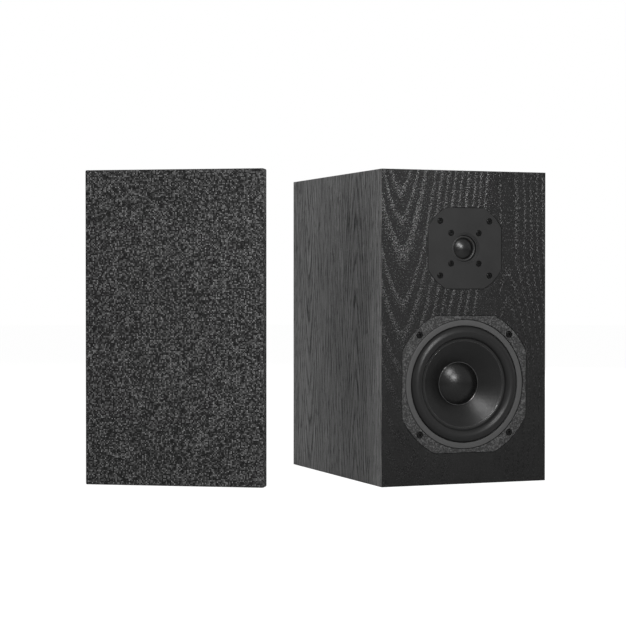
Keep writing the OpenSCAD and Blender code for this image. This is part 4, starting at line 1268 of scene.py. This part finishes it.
class SPEAKER_OT_screws(bpy.types.Operator):
    """Socket screws of both drivers"""

    bl_idname = "speaker.screws"
    bl_label = "Screws"

    def execute(self, context):
        sets = (
            ("woofer_screws", WOOFER, 60, (3.5, 2.1, 2.0, 18.1, 3), 2.4),
            ("tweeter_mounting_screws", TWEETER, 33, (3.2, 2.0, 1.7, 17.7, 3), 2.3),
            ("tweeter_plate_screws", TWEETER, 18.5, (3.2, 2.0, 1.9, 7.2, 0.5), 2.3),
        )
        for node, centre, reach, size, seat_depth in sets:
            places = [
                centre + Vector((x * reach, seat_depth, z * reach)) * MM
                for x in (-1, 1) for z in (-1, 1)
            ]
            screws = driven(socket_screw("screw", *size), places, math.pi / 2, 0.7, 1.9)
            seat(joined(node.replace("_", " "), screws), node, black_steel())
        return {"FINISHED"}


class SPEAKER_OT_port(bpy.types.Operator):
    """Flared reflex port"""

    bl_idname = "speaker.port"
    bl_label = "Port"

    def execute(self, context):
        bell = arc(34, 9, 9, -90, -180, 16) + [(25, 60), (25, 124.4), (25.5, 125), (27, 125)]
        outside = [(27.5, 124.4), (27.5, 60)] + arc(34, 9, 6.5, -180, -90, 14)
        rim = [(39.4, 2.5), (40, 2.0), (40, 0.5), (39.5, 0.03)]
        port = turned("port", bell + outside + rim, PORT, OUTWARD, steps=128, angle=40)
        colour = context.scene.speaker.terminals.plastic
        plastic = moulded("port plastic", colour, 0.5, 1300.0, depth=0.00006, speck=0.2)
        seat(port, "port_tube", plastic)
        return {"FINISHED"}


class SPEAKER_OT_terminals(bpy.types.Operator):
    """Terminal cup, binding posts, knobs and their fixings"""

    bl_idname = "speaker.terminals"
    bl_label = "Terminals"

    def execute(self, context):
        look = context.scene.speaker.terminals
        glossy = {"depth": 0.00003, "mottle": 0.1, "sheen": 0.5}
        plastic = moulded("cup plastic", look.plastic, 0.5, 1300.0, depth=0.00007, speck=0.25)
        red = moulded("red plastic", look.red, 0.3, 1200.0, **glossy)
        black = moulded("black plastic", grey(0.012), 0.32, 1200.0, **glossy)
        gold = plated("plated brass", look.gold, 0.24, 1, CUP)

        def past_corner(point, inset):
            """How far a point lies past the plate's corner, once an inset is taken off it."""
            width, height = CUP_HALF
            return Vector((
                abs(point.x) / MM - width + inset, abs(point.z - CUP.z) / MM - height + inset,
            ))

        # The screw heads reach almost to the round corners of the cup's plate, so its outline is
        # only just broken and their seats stay sharp.
        def outline(point):
            x, z = past_corner(point, CUP_CORNER)
            return math.hypot(max(x, 0), max(z, 0)) > CUP_CORNER - 0.1

        def screw_seat(point):
            return past_corner(point, CUP_SCREW_IN).length < 3.1

        cup = copied("terminal_cup", "terminal cup")
        ease(cup, 0.6 * MM, 3, test=lambda point: not outline(point) and not screw_seat(point))
        ease(cup, 0.1 * MM, test=outline)
        smooth(cup, 50, flat_faces=True)
        seat(cup, "terminal_cup", plastic)

        eased("terminal_cup_seal", 0.2, black_foam(), name="cup seal")
        eased("binding_posts", 0.2, gold)
        eased("post_bushings", 0.4, red, black, wears=lambda face: int(face.center.x >= 0))
        eased("post_nuts", 0.25, gold)
        eased("solder_lugs", 0.12, tinned())
        eased("red_clamp_washer", 0.15, gold)
        eased("black_clamp_washer", 0.15, gold)
        eased("red_knob", 0.35, red, segments=3)
        eased("black_knob", 0.35, black, segments=3)
        return {"FINISHED"}


class SPEAKER_OT_crossover(bpy.types.Operator):
    """Crossover board, coils, capacitors, resistors and terminal strips"""

    bl_idname = "speaker.crossover"
    bl_label = "Crossover"

    def execute(self, context):
        top = BOARD_TOP / MM
        green = circuit("circuit board", (0.012, 0.085, 0.035), (0.03, 0.17, 0.07))
        eased("crossover_board", 0.15, green, tinned(),
              wears=lambda face: int(face.center.z > BOARD_TOP + 0.2 * MM))
        nylon = moulded("white nylon", (0.72, 0.71, 0.66), 0.4, 900.0)
        eased("crossover_standoffs", 0.4, nylon, name="board spacers")
        brown = fibreboard("phenolic board", (0.20, 0.075, 0.025), 0.25, 0.45)
        eased("driver_terminal_strips", 0.15, brown, tinned(),
              wears=lambda face: int(self.on_tag(face.center)))

        coils = []
        for centre, axis, r_in, r_out, low, high in (
            ((-18, 62, top), UP, 9, 22, 0, 24), ((14, 6, top + 16), ALONG, 8, 16, 0, 12),
        ):
            pitch = flange = 1.2
            section = [(r_in, low), (r_out, low), (r_out, low + flange), (r_out - 2, low + flange)]
            d = low + flange
            while d < high - 2 * flange:
                section += [(r_out - 2, d), (r_out - 1.45, d + 0.3), (r_out - 1.45, d + 0.9)]
                d += pitch
            section += [(r_out - 2, high - flange), (r_out, high - flange), (r_out, high),
                        (r_in, high)]
            coil = turned("coil", section, Vector(centre) * MM, axis, steps=72)
            wire = copper_winding(coil.name + " wire", pitch * MM, axis.index(1),
                                  (0, 0, low * MM))

            def wears(face):
                """The bobbin's slot, or the wire's between its flanges."""
                out = face.center / MM - Vector(centre)
                d = out.dot(Vector(axis))
                r = (out - Vector(axis) * d).length
                return int(low + flange < d < high - flange and r > r_out - 2.2)

            dress(coil, shared("bobbin", moulded, grey(0.02), 0.4, 900.0), wire, wears=wears)
            coils.append(coil)
        seat(joined("inductors", coils), "crossover_inductors")

        parts = []
        sleeve = [(0, 0.9), (5.4, 0.9), (6.0, 0.7), (6.6, 0.1), (7.2, 0.0), (7.8, 0.5), (8, 1.6)]
        for x, y, r in ((24, 44, 8), (24, 63, 8), (-2, -15, 7)):
            half = [(a * r / 8, d) for a, d in sleeve]
            section = half + [(r, 16), *[(a, 32 - d) for a, d in half[::-1]]]
            middle_height = top + r + 0.1
            film = turned("film capacitor", section, Vector((x - 16, y, middle_height)) * MM, ALONG,
                          steps=64, closed=False)
            dress(film, shared("capacitor sleeve", sleeved, (0.05, 0.13, 0.30), (0.5, 0.5, 0.42), 0,
                               40 * MM))
            parts.append(film)
            for end in (-1, 1):
                points = [(x + end * 15.5, y, middle_height), (x + end * 18.2, y, middle_height),
                          (x + end * 19.4, y, middle_height - 1.6), (x + end * 19.5, y, top + 0.4)]
                wire = lead("capacitor lead", points, 0.4, 5, 2)
                dress(wire, tinned())
                parts.append(wire)
        can = [(0, 0.05), (8.4, 0.05), (8.9, 0.6), (8.9, 2.4), (8.3, 3.0), (8.9, 3.7), (9.0, 4.6),
               (9.0, 27.0), (8.7, 27.7), (8.0, 28.0), (7.6, 27.7), (7.4, 27.3), (0, 27.3)]
        standing = turned("can", can, Vector((-31, -15, top)) * MM, UP, steps=64, closed=False)
        dress(standing, shared("can sleeve", sleeved, (0.02, 0.02, 0.025), (0.45, 0.45, 0.42), 2,
                               34 * MM))
        seat(joined("capacitors", parts + [standing]), "crossover_capacitors")

        ceramic = moulded(
            "white ceramic", (0.66, 0.64, 0.57), 0.75, 700.0, depth=0.0001, mottle=0.3, speck=0.1,
        )
        eased("crossover_resistors", 0.7, ceramic, name="resistors", segments=3)
        return {"FINISHED"}

    @staticmethod
    def on_tag(place):
        """Whether a place is on one of the metal tags, which hang below each driver's strip."""
        woofer_strip = WOOFER.z - 55.05 * MM
        tweeter_strip = TWEETER.z - 36.15 * MM
        return place.z < woofer_strip or woofer_strip + 60 * MM < place.z < tweeter_strip


class SPEAKER_OT_wires(bpy.types.Operator):
    """Leads from the terminals and the crossover to both drivers"""

    bl_idname = "speaker.wires"
    bl_label = "Wires"

    def execute(self, context):
        look = context.scene.speaker.terminals
        supple = {"depth": 0.00002, "mottle": 0.08, "sheen": 0.5}
        red = moulded("red sheath", look.red, 0.35, 900.0, **supple)
        black = moulded("black sheath", grey(0.012), 0.35, 900.0, **supple)
        wy, wz = (WOOFER / MM).yz
        ty, tz = (TWEETER / MM).yz
        back, cup = (CUP / MM).yz
        end = BOARD_TOP / MM + 5.4
        inlet = [(9.5, back - 29.3, cup - 10), (9.5, back - 29.4, cup - 16),
                 (11, back - 37, cup - 32), (13, 102, 48), (15, 96, 40), (15, 95.8, end)]
        woofer = [(8, wy + 62.2, wz - 56), (8, wy + 62.5, wz - 63), (8, wy + 68, wz - 73),
                  (9, -72, 41), (10, -58, 38), (10, -44, 38), (10, -35.8, end)]
        tweeter = [(5, ty + 34.6, tz - 38.75), (6, ty + 35, tz - 44.75), (16, ty + 42, tz - 49.75),
                   (28, ty + 56, tz - 53.75), (36, -84, 220), (38, -74, 206), (38, -54, 176),
                   (38, -44, 140), (38, -36, 100), (38, -30, 66), (38, -24, 46), (36, -23.6, end)]
        beside = []
        for i, (x, y, z) in enumerate(tweeter):
            beside.append((x - 10, y, z) if i < 2 else (x + 4, y + 12, z))
        pairs = (
            ("input_wires", [(-x, y, z) for x, y, z in inlet], inlet),
            ("woofer_wires", [(-x, y, z) for x, y, z in woofer], woofer),
            ("tweeter_wires", tweeter, beside),
        )
        for node, first, second in pairs:
            wires = []
            for points, sheath in ((first, red), (second, black)):
                wire = lead("wire", points, 1.2)
                dress(wire, sheath)
                wires.append(wire)
            seat(joined(node.replace("_", " "), wires), node)
        return {"FINISHED"}


class SPEAKER_OT_grille(bpy.types.Operator):
    """Cloth grille that stands beside the cabinet"""

    bl_idname = "speaker.grille"
    bl_label = "Grille"

    def execute(self, context):
        look = context.scene.speaker.grille
        eased("grille_frame", 0.5, black_paint())
        eased("grille_magnets", 0.3, plated_steel())

        width, depth, height = GRILLE_SIZE
        hair = 1e-5
        only()
        bpy.ops.mesh.primitive_grid_add(
            x_subdivisions=54, y_subdivisions=94, size=1, location=(0, 0, height / 2),
            rotation=(math.pi / 2, 0, 0),
        )
        cloth = started("grille cloth")
        with editing(cloth):
            bpy.ops.transform.resize(
                value=(width, 1, height), orient_type="GLOBAL", center_override=(0, 0, height / 2),
            )
        # The cloth is drawn back over the frame's sides and folded in behind it.
        folds, fold = 4, 3 * MM
        rim = {
            v.index for v in cloth.data.vertices
            if abs(abs(v.co.x) - width / 2) < hair or v.co.z < hair or v.co.z > height - hair
        }
        pick(cloth.data, [e for e in cloth.data.edges if set(e.vertices) <= rim])
        with editing(cloth, everything=False):
            for i in range(6):
                bpy.ops.mesh.extrude_edges_move(TRANSFORM_OT_translate={"value": (0, depth / 6, 0)})
            for i in range(folds):
                inner = 1 - fold * 2 / (width - 2 * i * fold)
                tall = 1 - fold * 2 / (height - 2 * i * fold)
                bpy.ops.mesh.extrude_edges_move(TRANSFORM_OT_translate={"value": (0, 0, 0)})
                bpy.ops.transform.resize(
                    value=(inner, 1, tall), orient_type="GLOBAL",
                    center_override=(0, depth, height / 2),
                )
            weld(hair)
        ease(cloth, 1.6 * MM, 4)
        slack = bpy.data.textures.new("cloth slack", "CLOUDS")
        slack.noise_scale = 0.05
        rail = 20 * MM
        opening = cloth.vertex_groups.new(name="opening")
        for v in cloth.data.vertices:
            from_rail = min(width / 2 - rail - abs(v.co.x), v.co.z - rail, height - rail - v.co.z)
            if v.co.y < 0.5 * MM and from_rail > 0:
                opening.add([v.index], min(1.0, from_rail / (30 * MM)), "REPLACE")
        modify(cloth, "DISPLACE", texture=slack, strength=-0.9 * MM, mid_level=0.0, direction="Y",
               vertex_group="opening")
        modify(cloth, "SOLIDIFY", thickness=0.7 * MM, offset=-1)
        smooth(cloth, 60)
        only(cloth)
        cloth.rotation_euler.z = GRILLE_TURN
        cloth.location = GRILLE
        bpy.ops.object.transform_apply(location=True, rotation=True, scale=True)
        seat(cloth, "grille_cloth", linen("grille linen", look, GRILLE, GRILLE_TURN))
        return {"FINISHED"}


class SPEAKER_OT_small_parts(bpy.types.Operator):
    """Wood screws of the terminal cup and the crossover board"""

    bl_idname = "speaker.small_parts"
    bl_label = "Wood screws"

    def execute(self, context):
        x_in, z_in = (half - CUP_SCREW_IN for half in CUP_HALF)
        board = [Vector((x, y, BOARD_TOP / MM)) * MM for x in (-39, 39) for y in (-34, 94)]
        cup = [CUP + Vector((x, 1.7, z)) * MM for x in (-x_in, x_in) for z in (-z_in, z_in)]
        long_screw = socket_screw("board screw", 2.9, 1.8, 1.5, 18.6, 3)
        short_screw = socket_screw("cup screw", 2.9, 1.8, 1.5, 10.7, 3)
        rows = driven(long_screw, board, math.pi, 0.4, 1.3)
        rows += driven(short_screw, cup, -math.pi / 2, 0.9, 1.7)
        seat(joined("wood screws", rows), "small_wood_screws", black_steel(), plated_steel(),
             wears=lambda face: int(face.center.z < 0.05))
        return {"FINISHED"}


class SPEAKER_OT_stage(bpy.types.Operator):
    """Floor, lamps, surroundings and camera"""

    bl_idname = "speaker.stage"
    bl_label = "Stage"

    def execute(self, context):
        look = context.scene.speaker.stage
        scene = context.scene
        only()
        bpy.ops.mesh.primitive_circle_add(vertices=96, radius=9, fill_type="NGON")
        floor = started("floor")
        with editing(floor):
            bpy.ops.mesh.inset(thickness=0.5)
        dress(floor, self.pale(look))

        world = bpy.data.worlds.new("surroundings")
        scene.world = world
        world.use_nodes = True
        sky = Tree(world.node_tree)
        seen = sky.math("MAXIMUM", self.seen(sky), sky.add("LightPath", output="Is Glossy Ray"))
        seen = sky.math("MAXIMUM", seen, sky.add("LightPath", output="Is Transmission Ray"))
        plain = sky.add("Background", values={"Color": grey(1.0), "Strength": look.ambient})
        white = sky.add("Background", values={"Color": grey(1.0), "Strength": 1.0})
        both = sky.add("MixShader", values={0: seen, 1: plain, 2: white})
        end = sky.tree.nodes.new("ShaderNodeOutputWorld")
        sky.tree.links.new(both.socket, end.inputs["Surface"])

        aim = Vector((-0.06, 0, 0.2))
        lamps = (
            ("key lamp", (0.03, -2.0, 0.74), 0.3, look.key),
            ("top lamp", (-0.17, -0.77, 0.62), 0.26, look.top),
            ("side lamp", (-2.3, 0.2, 0.55), 1.1, look.side),
            ("back lamp", (1.7, 2.1, 1.1), 1.2, look.back),
        )
        for name, place, size, power in lamps:
            only()
            bpy.ops.object.light_add(type="AREA", location=place)
            lamp = bpy.context.object
            lamp.name = name
            lamp.data.shape = "DISK"
            lamp.data.size = size
            lamp.data.energy = power
            lamp.visible_camera = False
            lamp.rotation_euler = (aim - Vector(place)).to_track_quat("-Z", "Y").to_euler()

        only()
        bpy.ops.object.camera_add(
            location=(-0.9556, -2.1132, 0.2395),
            rotation=(math.radians(90 - 0.844), 0, math.radians(-21.113)),
        )
        camera = bpy.context.object
        camera.name = "camera"
        camera.data.lens = look.lens
        camera.data.sensor_width = 36
        scene.camera = camera
        scene.view_settings.view_transform = "Standard"
        return {"FINISHED"}

    @staticmethod
    def seen(tree):
        return tree.add("LightPath", output="Is Camera Ray")

    def pale(self, look):
        """Matt floor that looks white and still shows the shadows on it."""
        s = Finish("pale floor", Specular_IOR_Level=0.0)
        dust = s.noise(s.place, 3.0, 4.0)
        s.set("Base Color", s.scaled(look.floor, 0.98 + dust * 0.04))
        s.set("Roughness", 0.8 + dust * 0.1)
        glow = s.add("Emission", values={"Color": grey(1.0), "Strength": 1.18})
        both = s.add("MixShader", values={0: self.seen(s) * 0.8, 1: s.shader, 2: glow})
        end = next(n for n in s.tree.nodes if n.type == "OUTPUT_MATERIAL")
        s.tree.links.new(both.socket, end.inputs["Surface"])
        return s.material


# ---- Add-on ----


class SpeakerLook(bpy.types.PropertyGroup):
    """Every size and colour of the speaker that a user would change."""

    cabinet: PointerProperty(name="Cabinet", description="Veneer and edges", type=CabinetLook)
    drivers: PointerProperty(name="Drivers", description="Woofer and tweeter", type=DriverLook)
    grille: PointerProperty(name="Grille", description="Cloth of the grille", type=GrilleLook)
    terminals: PointerProperty(
        name="Terminals", description="Parts on the back and inside", type=TerminalLook,
    )
    stage: PointerProperty(name="Stage", description="Floor, lamps and camera", type=StageLook)


LOOKS = (CabinetLook, DriverLook, GrilleLook, TerminalLook, StageLook, SpeakerLook)
STEPS = (
    SPEAKER_OT_stage, SPEAKER_OT_cabinet, SPEAKER_OT_damping, SPEAKER_OT_woofer_frame,
    SPEAKER_OT_woofer_cone, SPEAKER_OT_woofer_motor, SPEAKER_OT_tweeter, SPEAKER_OT_screws,
    SPEAKER_OT_small_parts, SPEAKER_OT_port, SPEAKER_OT_terminals, SPEAKER_OT_crossover,
    SPEAKER_OT_wires, SPEAKER_OT_grille,
)


class SPEAKER_PT_panel(bpy.types.Panel):
    """Steps that build the speaker, with their sizes and colours"""

    bl_idname = "SPEAKER_PT_panel"
    bl_label = "Bookshelf speaker"
    bl_space_type = "VIEW_3D"
    bl_region_type = "UI"
    bl_category = "Speaker"

    def draw(self, context):
        for step in STEPS:
            self.layout.operator(step.bl_idname)
        look = context.scene.speaker
        for group in ("cabinet", "drivers", "grille", "terminals", "stage"):
            box = self.layout.box()
            box.label(text=group.title())
            settings = getattr(look, group)
            for key in settings.bl_rna.properties.keys():
                if key not in ("name", "rna_type"):
                    box.prop(settings, key)


CLASSES = LOOKS + STEPS + (SPEAKER_PT_panel,)


def register():
    for item in CLASSES:
        bpy.utils.register_class(item)
    bpy.types.Scene.speaker = PointerProperty(type=SpeakerLook)


def unregister():
    del bpy.types.Scene.speaker
    for item in reversed(CLASSES):
        bpy.utils.unregister_class(item)


def main():
    """Builds everything in order."""
    register()
    for step in STEPS:
        group, name = step.bl_idname.split(".")
        getattr(getattr(bpy.ops, group), name)()


if __name__ == "__main__":
    main()
